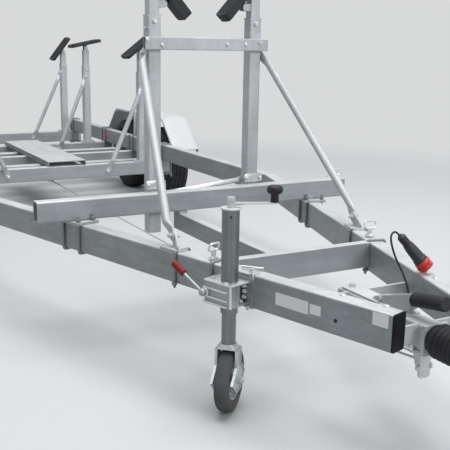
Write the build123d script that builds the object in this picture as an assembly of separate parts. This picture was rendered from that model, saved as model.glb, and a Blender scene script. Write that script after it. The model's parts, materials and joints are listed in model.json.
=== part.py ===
from build123d import *
import os
from math import sin, cos, tan, atan2, radians, degrees

# Boat trailer. +X is the trailer's left, +Y points to its rear, +Z is up.
# Y is measured from the drawbar ends; write() moves all to an origin on the ground, midway along the trailer.
# All sizes are in millimetres.

os.makedirs("parts", exist_ok=True)

# Main frame
frame_top = 506.0        # top of the drawbars and side rails
beam_w = 65.0
beam_h = 120.0
beam_wall = 4.0
beam_round = 8.0
v_angle = 17.0           # each drawbar opens this much from the centre line
v_front_x = 171.0        # outer corner of a drawbar at its front end
rail_out = 880.0         # outer face of a side rail
rail_end_y = 6160.0
cap_t = 5.0              # plastic end cap

# Cross members
bar_front_y = 715.0
bar_w = 40.0
bar_h = 100.0
bar_wall = 4.0
member_w = 60.0
member_h = 100.0
member_wall = 4.0
member_rows = (          # name, front face y
    ("crossmember_1", 3850.0),
    ("crossmember_2", 4460.0),
    ("crossmember_3", 5120.0),
    ("crossmember_4", 6060.0),
)
tie_x = -119.0           # centre of the lengthwise tie
tie_w = 40.0
tie_h = 80.0

# Post crossbeam, which lies on the drawbars
post_beam_y = 1520.0
post_beam_w = 63.0
post_beam_h = 92.0
post_beam_len = 1594.0
saddle_t = 12.0
saddle_w = 110.0
saddle_len = 150.0

# Bow posts
post_w = 60.0
post_wall = 4.0
post_mid_x = 24.0        # the pair stands this far left of the centre line
post_half_gap = 257.0
post_low_z = 413.0       # the right post reaches below the crossbeam
post_top_z = 1390.0
inner_w = 50.0
inner_reach = 85.0       # the inner post stands this far out of the outer one
post_bar_z = 1240.0
post_bar_h = 56.0
post_bar_d = 25.0
post_bar_over = 24.0
strap_t = 8.0
strap_z = 628.0
strap_h = 30.0
strap_over = 15.0

# Round stays with flattened ends
stay_r = 17.0
stay_hole_r = 7.0
stay_flat_t = 8.0
stay_flat_w = 38.0
stay_flat_len = 32.0     # flat part of an end, past the bolt
stay_press_len = 84.0    # from the bolt to where the bar is round
stay_off = 2.0           # the round part stays this far off the face
bow_stay_top_z = 1225.0
bow_stay_top_y = 1606.0
bow_foot_x = 428.0
bow_foot_y = 965.0
bow_foot_rise = 42.0
foot_t = 8.0
foot_w = 92.0
foot_len = 140.0
boss_r = 11.0

# Side props on the cross members
prop_rows = (            # row, cross member, x of the posts, top of the inner post, low and high stay x
    ("1", "crossmember_1", 655.0, 1196.0, 370.0, 655.0),
    ("2", "crossmember_3", 655.0, 1200.0, 377.0, 640.0),
    ("3", "crossmember_4", 738.0, 1156.0, 400.0, 700.0),
)
prop_outer_top = 1060.0
prop_base_t = 8.0
prop_base_x = 130.0
prop_stay_low_z = 330.0
prop_stay_top_z = 975.0
pad_tilts = {            # tilt of each pad in degrees, outer edge up
    "right_1": 30.0, "left_1": 38.0,
    "right_2": 16.0, "left_2": 12.0,
    "right_3": 34.0, "left_3": 52.0,
}
pad_len = 270.0
pad_w = 150.0
pad_t = 24.0
pivot_rise = 21.0        # pivot above the inner post's top
pivot_to_pad = 24.0      # pivot to the pad's underside
pin_r = 6.0
pin_gap = 0.06
ear_t = 6.0
lug_w = 30.0

# Bow pads
bow_pad_tilt = 48.0
bow_pad_len = 230.0
bow_pad_w = 90.0
bow_pad_t = 42.0
bow_pivot_drop = 38.0    # pivot below the inner post's top
bow_pivot_reach = 24.0   # pivot to the inner post's side
bow_pivot_to_pad = 28.0

# Keel plank
plank_x = 60.0
plank_w = 280.0
plank_flange = 35.0
plank_t = 5.0

# Overrun coupling
tube_w = 76.0
tube_top = 448.0
tube_h = 86.0
tube_back = 440.0
tube_front = -6.0
coupler_wall = 6.0
hanger_rows = (30.0, 380.0)
hanger_t = 10.0
hanger_z = 386.0
strip_t = 6.0            # flat strip on the housing, under the handbrake
strip_w = 66.0
strip_y = (96.0, 434.0)
flange_w = 112.0         # bolting flange below the housing
flange_y = (24.0, 196.0)
bellows_front = -150.0
bellows_r = 56.0
bellows_ribs = 6
shaft_r = 25.0
ball_r = 25.0
neck_len = 30.0
head_len = 70.0

# Handbrake lever, lying forward
lever_back_y = 272.0
lever_mid_y = 97.0
lever_top_z = 520.0
lever_low_z = 472.0
lever_w = 38.0
lever_t = 4.0
shank_r = 9.0
grip_r = 24.0
grip_back_z = 502.0
grip_front = (0.0, -38.0, 526.0)

# Brake rod under the frame
brake_rod_r = 4.0
brake_rod_z = 246.0
rod_bend_y = 700.0       # the rod rises from here to the relay lever
relay_y = 30.0
relay_low_z = 264.0
relay_rod_z = 318.0
relay_w = 44.0

# Jockey wheel
jack_off = 55.0          # tube axis to the drawbar's outer face
jack_y = 567.0
jack_r = 30.0
jack_wall = 4.7
jack_low_z = 372.0
jack_top_z = 733.0
head_r = 11.0
head_top_z = 766.0
clamp_low_z = 400.0
clamp_high_z = 480.0
clamp_t = 7.0
clamp_out = 46.0         # clamp box, from the tube's axis outwards
clamp_front = 42.0
clamp_back = 80.0
clamp_play = 0.15
screw_y = 68.0
screw_z = 441.0
clamp_arm = (0.0, 140.0, 70.0)
clamp_arm_r = 5.0
clamp_grip_len = 62.0
leg_r = 25.0
leg_wall = 4.0
leg_low_z = 262.0
leg_top_z = 640.0
castor_angle = 45.0      # the wheel stands turned this far to the left
trail = 20.0
fork_t = 4.0
fork_rim = 9.0           # the cheeks' edges are folded outwards this far
jockey_r = 118.0
jockey_w = 54.0
jockey_side_gap = 5.0
jockey_rim_r = 72.0
crank_end = (-266.0, 512.0)
crank_z = 751.0
crank_t = 5.0
crank_w = 18.0
crank_stem_r = 6.0
run_gap = 0.3            # gap between faces that slide or turn
castor_pin_r = 10.0
jockey_pin_r = 8.0

# Axles and wheels
wheel_rows = (4225.0, 4925.0)
tyre_r = 300.0
tyre_w = 185.0
rim_r = 178.0
wheel_in_x = 915.0
axle_side = 80.0
axle_z = 334.0
axle_lead = 140.0        # the axle tube lies this far ahead of the wheel centre
arm_t = 22.0
stub_r = 20.0
arm_in_x = 868.0         # inner face of a trailing arm
stub_end_x = 1028.0
drum_r = 118.0
rim_slots = 10
slot_r = 11.0
disc_z = 30.0            # disc plane, outwards of the tyre's middle
hub_r = 36.0
hub_cap_r = 28.0

# Mudguards
guard_in_x = 905.0
guard_w = 225.0
guard_t = 4.0
guard_top_z = 695.0
guard_low_z = 462.0
guard_slope = 230.0      # length of each sloping end
guard_end = 92.0         # past the tyres at each end
guard_skirt = 52.0
guard_stay = 30.0

# Rear lamps
lamp_x = 620.0
lamp_w = 190.0
lamp_h = 90.0
lamp_d = 42.0

# Towing-vehicle plug and its cable
gland_gap = 0.3
cable_r = 3.5
cord_share = 0.45        # share of the shorter run that an arc takes
plug_foot = (222.0, 285.0, 526.0)
plug_tip = (136.5, 340.0, 640.0)
cap_len = 34.0
cap_r = 27.0
cable_route = (
    (60.0, 236.0, 420.0),
    (94.0, 236.0, 420.0),
    (120.0, 250.0, 452.0),
    (111.0, 276.0, 517.0),
    (92.0, 308.0, 578.0),
    (86.5, 326.0, 628.0),
    (95.0, 335.0, 648.0),
    (112.0, 341.0, 654.5),
    (130.9, 343.6, 647.5),
    (151.6, 330.3, 619.9),
)

v_tan = tan(radians(v_angle))
v_cos = cos(radians(v_angle))
v_sin = sin(radians(v_angle))
bend_y = (rail_out - v_front_x) / v_tan
member_top = frame_top - beam_h
member_y = dict(member_rows)
inner_top_z = post_top_z + inner_reach
tube_mid_z = tube_top - tube_h / 2
ball_y = bellows_front - neck_len - head_len - ball_r - 3
cup_r = ball_r + 13
lamp_y = member_rows[-1][1] + member_w
origin_y = (ball_y - cup_r + lamp_y + lamp_d) / 2
SIDES = (("right", -1), ("left", 1))


def write(shape, name):
    export_step(Location((0, -origin_y, 0)) * shape, "parts/" + name + ".step")


def inner_face_x(y):
    return v_front_x + y * v_tan - beam_w / v_cos


def drawbar_mid_x(y):
    return v_front_x + y * v_tan - beam_w / v_cos / 2


def hollow(w, h, wall, r):
    return RectangleRounded(w, h, r) - RectangleRounded(w - 2 * wall, h - 2 * wall, r - wall * 0.75)


def bar_y(w, h, wall, r, length):
    # hollow section along +Y, its front end centred on the origin
    return extrude(Plane(origin=(0, 0, 0), x_dir=(1, 0, 0), z_dir=(0, 1, 0)) * hollow(w, h, wall, r), length)


def bar_x(depth, h, wall, r, length):
    # hollow section along X, centred on the origin
    start = Plane(origin=(-length / 2, 0, 0), x_dir=(0, 1, 0), z_dir=(1, 0, 0))
    return extrude(start * hollow(depth, h, wall, r), length)


def bar_z(w, d, wall, r, low, high):
    return extrude(Plane(origin=(0, 0, low)) * hollow(w, d, wall, r), high - low)


def block(x0, x1, y0, y1, z0, z1):
    return Location(((x0 + x1) / 2, (y0 + y1) / 2, (z0 + z1) / 2)) * Box(x1 - x0, y1 - y0, z1 - z0)


def prism_x(outline, x0, x1):
    # outline in Y and Z, pulled along X
    face = make_face(Plane.YZ * Polyline(*outline, close=True))
    return Location((x0, 0, 0)) * extrude(face, x1 - x0, dir=(1, 0, 0))


def ring_z(outline):
    # outline in radius and Z, turned about Z
    return revolve(make_face(Plane.XZ * Polyline(*outline, close=True)), axis=Axis.Z)


def rod(p, q, r):
    # round bar from p to q
    start = Vector(*p)
    run = Vector(*q) - start
    return extrude(Plane(origin=start, z_dir=run) * Circle(r), run.length)


def on_beam(sign, y):
    # frame on top of a drawbar, its local Y along the drawbar
    return Location((sign * drawbar_mid_x(y), y, frame_top), (0, 0, -sign * v_angle))


def stay_frame(p, q, back):
    # origin at the lower bolt, Z along the stay, Y away from what carries it
    low = Vector(*p)
    along = (Vector(*q) - low).normalized()
    away = Vector(*back) * -1
    away = (away - along * away.dot(along)).normalized()
    return Plane(origin=low, x_dir=away.cross(along), z_dir=along)


def stay_end():
    # flat round the bolt hole, then drawn out to the bar's round section
    mid_y = stay_flat_t / 2
    flat = block(-stay_flat_w / 2, stay_flat_w / 2, 0, stay_flat_t, 0, stay_flat_len)
    eye = Location((0, mid_y, 0), (90, 0, 0)) * Cylinder(stay_flat_w / 2, stay_flat_t)
    hole = Location((0, mid_y, 0), (90, 0, 0)) * Cylinder(stay_hole_r, stay_flat_t * 3)
    pressed = Plane(origin=(0, mid_y, stay_flat_len)) * SlotOverall(stay_flat_w, stay_flat_t)
    full = Plane(origin=(0, stay_r + stay_off, stay_press_len)) * Circle(stay_r)
    return flat + eye + loft([pressed, full]) - hole


def stay(p, q, back):
    # round bar between two bolts, its pressed ends lying against what carries it
    length = (Vector(*q) - Vector(*p)).length
    bar = Location((0, stay_r + stay_off, stay_press_len)) * extrude(Circle(stay_r), length - 2 * stay_press_len)
    other = Location((0, 0, length), (0, 180, 0)) * stay_end()
    return stay_frame(p, q, back).location * (bar + stay_end() + other)


def drawbar(sign):
    half = radians(v_angle / 2)
    front_mid = v_front_x - beam_w / 2 * v_cos
    front = Location((sign * front_mid, beam_w / 2 * v_sin, frame_top - beam_h / 2), (0, 0, -sign * v_angle))
    raw = front * bar_y(beam_w, beam_h, beam_wall, beam_round, bend_y / v_cos + 200)
    mitre = Plane(origin=(sign * rail_out, bend_y, 0), z_dir=(sign * sin(half), cos(half), 0))
    return split(raw, bisect_by=mitre, keep=Keep.BOTTOM)


def drawbar_cap(sign):
    # plug in the open front end, with a rim over the section
    front_mid = v_front_x - beam_w / 2 * v_cos
    front = Location((sign * front_mid, beam_w / 2 * v_sin, frame_top - beam_h / 2), (0, 0, -sign * v_angle))
    start = Plane(origin=(0, -cap_t, 0), x_dir=(1, 0, 0), z_dir=(0, 1, 0))
    rim = extrude(start * RectangleRounded(beam_w, beam_h, beam_round), cap_t)
    return front * rim


def side_rail(sign):
    half = radians(v_angle / 2)
    front = Location((sign * (rail_out - beam_w / 2), bend_y - 60, frame_top - beam_h / 2))
    raw = front * bar_y(beam_w, beam_h, beam_wall, beam_round, rail_end_y - bend_y + 60)
    mitre = Plane(origin=(sign * rail_out, bend_y, 0), z_dir=(sign * sin(half), cos(half), 0))
    return split(raw, bisect_by=mitre, keep=Keep.TOP)


def front_crossbar():
    y0 = bar_front_y
    y1 = bar_front_y + bar_w
    corners = ((-inner_face_x(y0), y0), (inner_face_x(y0), y0), (inner_face_x(y1), y1), (-inner_face_x(y1), y1))
    outline = make_face(Polyline(*corners, close=True))
    solid = extrude(Plane(origin=(0, 0, frame_top - bar_h)) * outline, bar_h)
    reach = inner_face_x(y1)
    inside = block(-reach, reach, y0 + bar_wall, y1 - bar_wall, frame_top - bar_h + bar_wall, frame_top - bar_wall)
    return solid - inside


def post_crossbeam():
    place = Location((0, post_beam_y + post_beam_w / 2, frame_top + saddle_t + post_beam_h / 2))
    return place * bar_x(post_beam_w, post_beam_h, beam_wall, beam_round, post_beam_len)


def crossbeam_saddles():
    # plates between the crossbeam and what it lies on
    mid_y = post_beam_y + post_beam_w / 2
    plate = block(-saddle_w / 2, saddle_w / 2, -saddle_len / 2, saddle_len / 2, 0, saddle_t)
    group = [on_beam(sign, mid_y) * plate for side, sign in SIDES]
    tie_plate = block(tie_x - tie_w / 2, tie_x + tie_w / 2, post_beam_y, post_beam_y + post_beam_w, 0, saddle_t)
    group.append(Location((0, 0, frame_top)) * tie_plate)
    return group


def centre_tie():
    start_y = bar_front_y + bar_w
    end_y = post_beam_y + post_beam_w
    place = Location((tie_x, start_y, frame_top - tie_h / 2))
    return place * bar_y(tie_w, tie_h, 3.0, 5.0, end_y - start_y)


def post_x(sign):
    return post_mid_x + sign * post_half_gap


def bow_post(sign):
    x = post_x(sign)
    y = post_beam_y + post_beam_w + post_w / 2
    low = frame_top if sign > 0 else post_low_z
    outer = bar_z(post_w, post_w, post_wall, 6.0, low, post_top_z)
    inner = bar_z(inner_w, inner_w, post_wall, 5.0, post_top_z - 60, inner_top_z)
    ring = block(-post_w / 2, post_w / 2, -post_w / 2, post_w / 2, post_top_z - 8, post_top_z)
    ring = ring - block(-inner_w / 2 + 1, inner_w / 2 - 1, -inner_w / 2 + 1, inner_w / 2 - 1, 0, post_top_z + 9)
    wide = post_w / 2 + strap_over
    front_y = -post_w / 2 - strap_t
    strap = block(-wide, wide, front_y, -post_w / 2, strap_z, strap_z + strap_h)
    return Location((x, y, 0)) * (outer + inner + ring + strap)


def bow_pad_pivot(sign):
    # pivot beside the inner post, on the side that faces the boat
    x = post_x(sign) - sign * (inner_w / 2 + bow_pivot_reach)
    y = post_beam_y + post_beam_w + post_w / 2
    return Vector(x, y, inner_top_z - bow_pivot_drop)


def bow_pad_ears(sign):
    pivot = bow_pad_pivot(sign)
    parts = []
    for y0 in (-lug_w / 2 - ear_t, lug_w / 2):
        plate = block(0, bow_pivot_reach, y0, y0 + ear_t, -16, 16)
        tip = Location((0, y0 + ear_t / 2, 0), (90, 0, 0)) * Cylinder(16, ear_t)
        parts.append(plate + tip)
    pin = Location((0, 0, 0), (90, 0, 0)) * Cylinder(pin_r, lug_w + 2 * ear_t)
    ears = parts[0] + parts[1] + pin
    turn = 0 if sign > 0 else 180
    return Location((pivot.X, pivot.Y, pivot.Z), (0, 0, turn)) * ears


def pad_shape(length, width, thick, rise):
    # board on a lug, pivot at the origin, local X across the trailer
    board = extrude(Plane(origin=(0, 0, rise)) * RectangleRounded(length, width, 18), thick)
    lug = block(-15, 15, -lug_w / 2 + run_gap, lug_w / 2 - run_gap, 0, rise)
    eye = Location((0, 0, 0), (90, 0, 0)) * Cylinder(15, lug_w - 2 * run_gap)
    bore = Location((0, 0, 0), (90, 0, 0)) * Cylinder(pin_r + pin_gap, lug_w * 2)
    return board + lug + eye - bore


def prop(member, x, top_z, sign):
    y = member_y[member] + member_w / 2
    base_low = member_top
    base = block(-prop_base_x / 2, prop_base_x / 2, -member_w / 2, member_w / 2, base_low, base_low + prop_base_t)
    outer = bar_z(post_w, post_w, post_wall, 6.0, base_low + prop_base_t, prop_outer_top)
    inner = bar_z(inner_w, inner_w, post_wall, 5.0, prop_outer_top - 60, top_z)
    ring = block(-post_w / 2, post_w / 2, -post_w / 2, post_w / 2, prop_outer_top - 8, prop_outer_top)
    ring = ring - block(-inner_w / 2 + 1, inner_w / 2 - 1, -inner_w / 2 + 1, inner_w / 2 - 1, 0, top_z)
    cap = block(-inner_w / 2, inner_w / 2, -inner_w / 2, inner_w / 2, top_z - 6, top_z)
    shape = base + outer + inner + ring + cap
    pivot_z = top_z + pivot_rise
    for y0 in (-lug_w / 2 - ear_t, lug_w / 2):
        plate = block(-16, 16, y0, y0 + ear_t, top_z - 2, pivot_z)
        tip = Location((0, y0 + ear_t / 2, pivot_z), (90, 0, 0)) * Cylinder(16, ear_t)
        shape = shape + plate + tip
    shape = shape + Location((0, 0, pivot_z), (90, 0, 0)) * Cylinder(pin_r, lug_w + 2 * ear_t)
    return Location((sign * x, y, 0)) * shape


def prop_stay(member, low_x, top_x, sign):
    y = member_y[member]
    p = (sign * low_x, y, prop_stay_low_z)
    q = (sign * top_x, y, prop_stay_top_z)
    return stay(p, q, (0, 1, 0))


def bow_stay_ends(sign):
    low = (sign * bow_foot_x, bow_foot_y, frame_top + foot_t + bow_foot_rise)
    side_x = post_x(sign) + sign * (post_w / 2 + stay_flat_t)
    high = (side_x, bow_stay_top_y, bow_stay_top_z)
    return low, high


def bow_stay(sign):
    low, high = bow_stay_ends(sign)
    shape = stay(low, high, (-sign, 0, 0))
    face_x = post_x(sign) + sign * post_w / 2
    boss = rod((face_x, high[1], high[2]), (high[0] + sign * stay_flat_t / 2, high[1], high[2]), boss_r)
    return shape + boss


def bow_foot(sign):
    # plate on the drawbar with a lug that the stay is bolted to
    low, high = bow_stay_ends(sign)
    plate = block(-foot_w / 2, foot_w / 2, -foot_len / 2, foot_len / 2, 0, foot_t)
    plate = on_beam(sign, bow_foot_y) * plate
    lug = block(-stay_flat_w / 2, stay_flat_w / 2, -foot_t, 0, -90, 0)
    eye = Location((0, -foot_t / 2, 0), (90, 0, 0)) * Cylinder(stay_flat_w / 2, foot_t)
    raised = stay_frame(low, high, (-sign, 0, 0)).location * (lug + eye)
    raised = raised - block(-rail_out, rail_out, 0, post_beam_y, 0, frame_top + foot_t / 2)
    return plate + raised


def keel_plank():
    y0 = member_y["crossmember_1"]
    y1 = member_y["crossmember_3"] + member_w
    low = member_top
    top = low + plank_flange
    outer = block(plank_x - plank_w / 2, plank_x + plank_w / 2, y0, y1, low, top)
    inner = block(plank_x - plank_w / 2 + plank_t, plank_x + plank_w / 2 - plank_t, y0 - 1, y1 + 1, low - 1, top - plank_t)
    return outer - inner


def overrun_housing():
    shape = Location((0, tube_front, tube_mid_z)) * bar_y(tube_w, tube_h, coupler_wall, 9.0, tube_back - tube_front)
    for y in hanger_rows:
        wide = min(inner_face_x(y), inner_face_x(y + hanger_t))
        plate = block(-wide, wide, y, y + hanger_t, hanger_z, tube_top)
        hole = block(-tube_w / 2 + 2, tube_w / 2 - 2, y - 1, y + hanger_t + 1, tube_top - tube_h + 2, tube_top - 2)
        shape = shape + (plate - hole)
    front = block(-tube_w / 2 - 9, tube_w / 2 + 9, tube_front, tube_front + 12, tube_top - tube_h - 6, tube_top + 4)
    front = front - block(-30, 30, tube_front - 1, tube_front + 13, tube_mid_z - 30, tube_mid_z + 30)
    strip = block(-strip_w / 2, strip_w / 2, strip_y[0], strip_y[1], tube_top, tube_top + strip_t)
    strip = fillet(strip.edges().filter_by(Axis.Z), 14)
    flange = block(-flange_w / 2, flange_w / 2, flange_y[0], flange_y[1], tube_top - tube_h - 6, tube_top - tube_h)
    flange = fillet(flange.edges().filter_by(Axis.Z), 16)
    return shape + front + strip + flange


def relay_lever():
    # folded plate below the housing that pulls the brake rod
    top = tube_top - tube_h - 6
    plate = block(-relay_w / 2, relay_w / 2, relay_y, relay_y + 8, relay_low_z, top)
    plate = fillet(plate.edges().filter_by(Axis.Y).group_by(Axis.Z)[0], 12)
    edge = ((relay_y, top), (relay_y + 40, top), (relay_y + 22, relay_low_z + 40), (relay_y, relay_low_z + 30))
    ribs = prism_x(edge, -relay_w / 2, -relay_w / 2 + 5) + prism_x(edge, relay_w / 2 - 5, relay_w / 2)
    return plate + ribs


def brake_rod():
    end_y = wheel_rows[1] - axle_lead
    bend = (0, rod_bend_y, brake_rod_z)
    shape = rod(bend, (0, end_y, brake_rod_z), brake_rod_r)
    shape = shape + rod((0, relay_y + 4, relay_rod_z), bend, brake_rod_r) + Location(bend) * Sphere(brake_rod_r)
    for y in wheel_rows:
        hook_y = y - axle_lead
        shape = shape + block(-22, 22, hook_y - 4, hook_y + 4, brake_rod_z - 12, axle_z - axle_side / 2)
    return shape


def bellows():
    # ribbed rubber sleeve round the sliding shaft, turned about the Y axis
    start = tube_front
    pitch = (start - 14 - bellows_front - 12) / bellows_ribs
    points = [(shaft_r + run_gap, start), (bellows_r - 12, start), (bellows_r - 10, start - 14)]
    for i in range(bellows_ribs):
        y = start - 14 - i * pitch
        points.append((bellows_r, y - pitch * 0.5))
        points.append((bellows_r - 9, y - pitch))
    points.append((shaft_r + 8, bellows_front))
    points.append((shaft_r + run_gap, bellows_front))
    face = make_face(Plane.XY * Polyline(*points, close=True))
    return Location((0, 0, tube_mid_z)) * revolve(face, axis=Axis.Y)


def coupling_head():
    # sliding shaft and ball coupling
    y_neck = bellows_front - neck_len
    shaft = rod((0, tube_back - 60, tube_mid_z), (0, y_neck, tube_mid_z), shaft_r)
    back = Plane(origin=(0, y_neck, tube_mid_z), x_dir=(1, 0, 0), z_dir=(0, -1, 0))
    mid = Plane(origin=(0, y_neck - head_len, tube_mid_z), x_dir=(1, 0, 0), z_dir=(0, -1, 0))
    body = loft([back * RectangleRounded(78, 74, 12), mid * RectangleRounded(62, 60, 14)])
    dome = Location((0, ball_y, tube_mid_z - 8)) * Sphere(cup_r)
    cup = Location((0, ball_y, tube_mid_z - 38)) * Cylinder(cup_r, 60)
    socket = Location((0, ball_y, tube_mid_z - 18)) * Sphere(ball_r + 0.5)
    mouth = Location((0, ball_y, tube_mid_z - 18 - 60)) * Cylinder(ball_r + 0.5, 120)
    below = block(-100, 100, ball_y - 100, ball_y + 100, tube_mid_z - 200, tube_mid_z - 46)
    head = body + dome + cup - socket - mouth - below
    handle_back = y_neck + 4
    handle = block(-15, 15, ball_y - 18, handle_back, tube_mid_z + 30, tube_mid_z + 48)
    rise = block(-15, 15, handle_back - 18, handle_back, tube_mid_z + 36, tube_mid_z + 62)
    return shaft + head + handle + rise


grip_back = (0.0, lever_mid_y, grip_back_z)
grip_run = Vector(*grip_front) - Vector(*grip_back)


def handbrake_lever():
    # channel open at the top that narrows to its pivot on the housing, with a shank for the grip
    seat = tube_top + strip_t
    side = (
        (lever_back_y, seat),
        (lever_mid_y + 24, seat),
        (lever_mid_y, lever_low_z),
        (lever_mid_y, lever_top_z),
        (lever_back_y - 24, seat + 18),
        (lever_back_y, seat + 8),
    )
    solid = prism_x(side, -lever_w / 2, lever_w / 2)
    wide = lever_w / 2 - lever_t
    slot = block(-wide, wide, lever_mid_y + lever_t, lever_back_y - 40, lever_low_z + lever_t, lever_top_z + 1)
    shank = rod(grip_back, Vector(*grip_back) + grip_run * 0.9, shank_r)
    return solid - slot + shank


def handbrake_grip():
    barrel = rod(grip_back, grip_front, grip_r)
    ends = barrel.edges().filter_by(GeomType.CIRCLE).group_by(Axis.Y)[0]
    barrel = fillet(ends, 5)
    lever_side = block(-grip_r, grip_r, lever_mid_y, lever_back_y, lever_low_z, lever_top_z + grip_r)
    return barrel - lever_side - rod(grip_back, Vector(*grip_back) + grip_run * 0.9, shank_r)


def jack_axis():
    face_y = jack_y + jack_off * v_sin
    face_x = -(v_front_x + face_y * v_tan)
    return face_x - jack_off * v_cos, jack_y


jack_x, jack_y_axis = jack_axis()
jack_place = Location((jack_x, jack_y_axis, 0), (0, 0, v_angle))
castor_place = Location((jack_x, jack_y_axis, 0), (0, 0, -castor_angle))


def jack_clamp():
    # folded box round the tube on a plate that is bolted to the drawbar; local X points to the drawbar
    across = clamp_out + jack_off
    along = clamp_front + clamp_back
    mid = ((jack_off - clamp_out) / 2, (clamp_back - clamp_front) / 2)
    wall = hollow(across, along, clamp_t, 9)
    shape = Location((mid[0], mid[1], clamp_low_z)) * extrude(wall, clamp_high_z - clamp_low_z)
    for z in (clamp_low_z, clamp_high_z - clamp_t):
        shape = shape + Location((mid[0], mid[1], z)) * extrude(RectangleRounded(across, along, 9), clamp_t)
    low = clamp_low_z + clamp_t
    high = clamp_high_z - clamp_t
    recess = block(4, jack_off - 8, -clamp_front - 1, -clamp_front + clamp_t + 1, low, high)
    ear = block(4, jack_off, -clamp_front + 14, -clamp_front + 20, low, high)
    sleeve = Location((0, 0, (clamp_low_z + clamp_high_z) / 2)) * Cylinder(jack_r + 7, clamp_high_z - clamp_low_z)
    plate = block(jack_off - 8, jack_off, -clamp_front - 24, clamp_back + 16, clamp_low_z - 12, clamp_high_z + 14)
    bore = Location((0, 0, clamp_low_z)) * Cylinder(jack_r + clamp_play, 600)
    return jack_place * (shape - recess + ear + sleeve + plate - bore)


screw_knee = Vector(-clamp_out - 16, screw_y, screw_z)
screw_tip = screw_knee + Vector(*clamp_arm)


def clamp_screw():
    # screw through the box's outer wall with a bent handle
    screw = rod((-clamp_out + 1, screw_y, screw_z), screw_knee, 9)
    knuckle = Location((screw_knee.X, screw_knee.Y, screw_knee.Z)) * Sphere(14)
    return jack_place * (screw + knuckle + rod(screw_knee, screw_tip, clamp_arm_r))


def clamp_grip():
    run = (screw_tip - screw_knee).normalized()
    barrel = rod(screw_tip - run * (clamp_grip_len - 8), screw_tip + run * 8, 13)
    barrel = fillet(barrel.edges().filter_by(GeomType.CIRCLE), 5)
    return jack_place * (barrel - rod(screw_tip - run * clamp_grip_len, screw_tip, clamp_arm_r))


def jack_tube():
    outer = Location((0, 0, jack_low_z)) * extrude(Circle(jack_r) - Circle(jack_r - jack_wall), jack_top_z - jack_low_z)
    lid = Location((0, 0, jack_top_z + 2.5)) * Cylinder(jack_r + 3, 5)
    head = Location((0, 0, (jack_top_z + head_top_z) / 2)) * Cylinder(head_r, head_top_z - jack_top_z)
    return jack_place * (outer + lid + head)


crank_run = Vector(crank_end[0] - jack_x, crank_end[1] - jack_y_axis, 0)
crank_place = Location((jack_x, jack_y_axis, 0), (0, 0, degrees(atan2(crank_run.Y, crank_run.X))))


def jack_crank():
    # flat arm from the head, with an upright stem for the grip
    arm = block(0, crank_run.length + crank_w / 2, -crank_w / 2, crank_w / 2, crank_z, crank_z + crank_t)
    stem = Location((crank_run.length, 0, crank_z + 25)) * Cylinder(crank_stem_r, 46)
    return crank_place * (arm + stem)


def crank_grip():
    # mushroom-shaped grip, turned about its stem
    low = crank_z + crank_t
    with BuildSketch(Plane.XZ) as face:
        with BuildLine():
            Line((crank_stem_r, low), (14, low))
            Line((14, low), (13, low + 28))
            ThreePointArc((13, low + 28), (25, low + 34), (27, low + 42))
            ThreePointArc((27, low + 42), (25, low + 52), (16, low + 57))
            Line((16, low + 57), (0, low + 57))
            Line((0, low + 57), (0, crank_z + 48))
            Line((0, crank_z + 48), (crank_stem_r, crank_z + 48))
            Line((crank_stem_r, crank_z + 48), (crank_stem_r, low))
        make_face()
    return crank_place * (Location((crank_run.length, 0, 0)) * revolve(face.sketch, axis=Axis.Z))


def jack_leg():
    # inner tube that slides in the jack tube, closed below by a plug with the castor's bore
    tube = Location((0, 0, leg_low_z)) * extrude(Circle(leg_r) - Circle(leg_r - leg_wall), leg_top_z - leg_low_z)
    plug = Location((0, 0, leg_low_z + 7)) * Cylinder(leg_r - 1, 14)
    bore = Location((0, 0, leg_low_z)) * Cylinder(castor_pin_r + pin_gap, 60)
    return jack_place * (tube + plug - bore)


cheek_centre_z = 136.0
cheek_outline = (        # along the rolling direction and up, from the leg's axis and the cheek's middle
    (-28.0, 108.0),
    (28.0, 108.0),
    (28.0, 46.0),
    (80.0, 0.0),
    (34.0, -48.0),
    (-30.0, -48.0),
    (-82.0, 0.0),
    (-28.0, 46.0),
)


def cheek_points(share):
    return [(y * share, cheek_centre_z + z * share) for y, z in cheek_outline]


def jockey_fork():
    # crown, two pointed cheeks with folded edges, the castor pin and the wheel's axle
    crown_z = leg_low_z - run_gap
    side = jockey_w / 2 + jockey_side_gap
    foot_z = cheek_centre_z + cheek_outline[0][1]
    top = Plane(origin=(0, 0, crown_z)) * RectangleRounded(56, 56, 27)
    foot = Plane(origin=(0, 0, foot_z)) * RectangleRounded(2 * (side + fork_t), 60, 8)
    shape = loft([foot, top]) + Location((0, 0, crown_z + 12)) * Cylinder(castor_pin_r, 24)
    outside = cheek_points(1)
    inside = cheek_points(0.93)
    for sign in (-1, 1):
        ends = sorted((sign * side, sign * (side + fork_rim)))
        cuts = sorted((sign * (side + fork_t), sign * (side + fork_rim + 1)))
        shape = shape + (prism_x(outside, *ends) - prism_x(inside, *cuts))
    axle = Location((0, trail, jockey_r), (0, 90, 0)) * Cylinder(jockey_pin_r, 2 * (side + fork_t) + 34)
    return castor_place * (shape + axle)


def jockey_centre():
    return castor_place * Location((0, trail, jockey_r), (0, 90, 0))


def jockey_tyre():
    # solid tyre with a round shoulder each side, turned about the axle
    half = jockey_w / 2
    with BuildSketch(Plane.XZ) as face:
        with BuildLine():
            Line((jockey_rim_r, -half + 6), (jockey_r - 20, -half))
            ThreePointArc((jockey_r - 20, -half), (jockey_r - 6.5, -half + 5.5), (jockey_r - 1, -half + 17))
            ThreePointArc((jockey_r - 1, -half + 17), (jockey_r, 0), (jockey_r - 1, half - 17))
            ThreePointArc((jockey_r - 1, half - 17), (jockey_r - 6.5, half - 5.5), (jockey_r - 20, half))
            Line((jockey_r - 20, half), (jockey_rim_r, half - 6))
            Line((jockey_rim_r, half - 6), (jockey_rim_r, -half + 6))
        make_face()
    return jockey_centre() * revolve(face.sketch, axis=Axis.Z)


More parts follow.
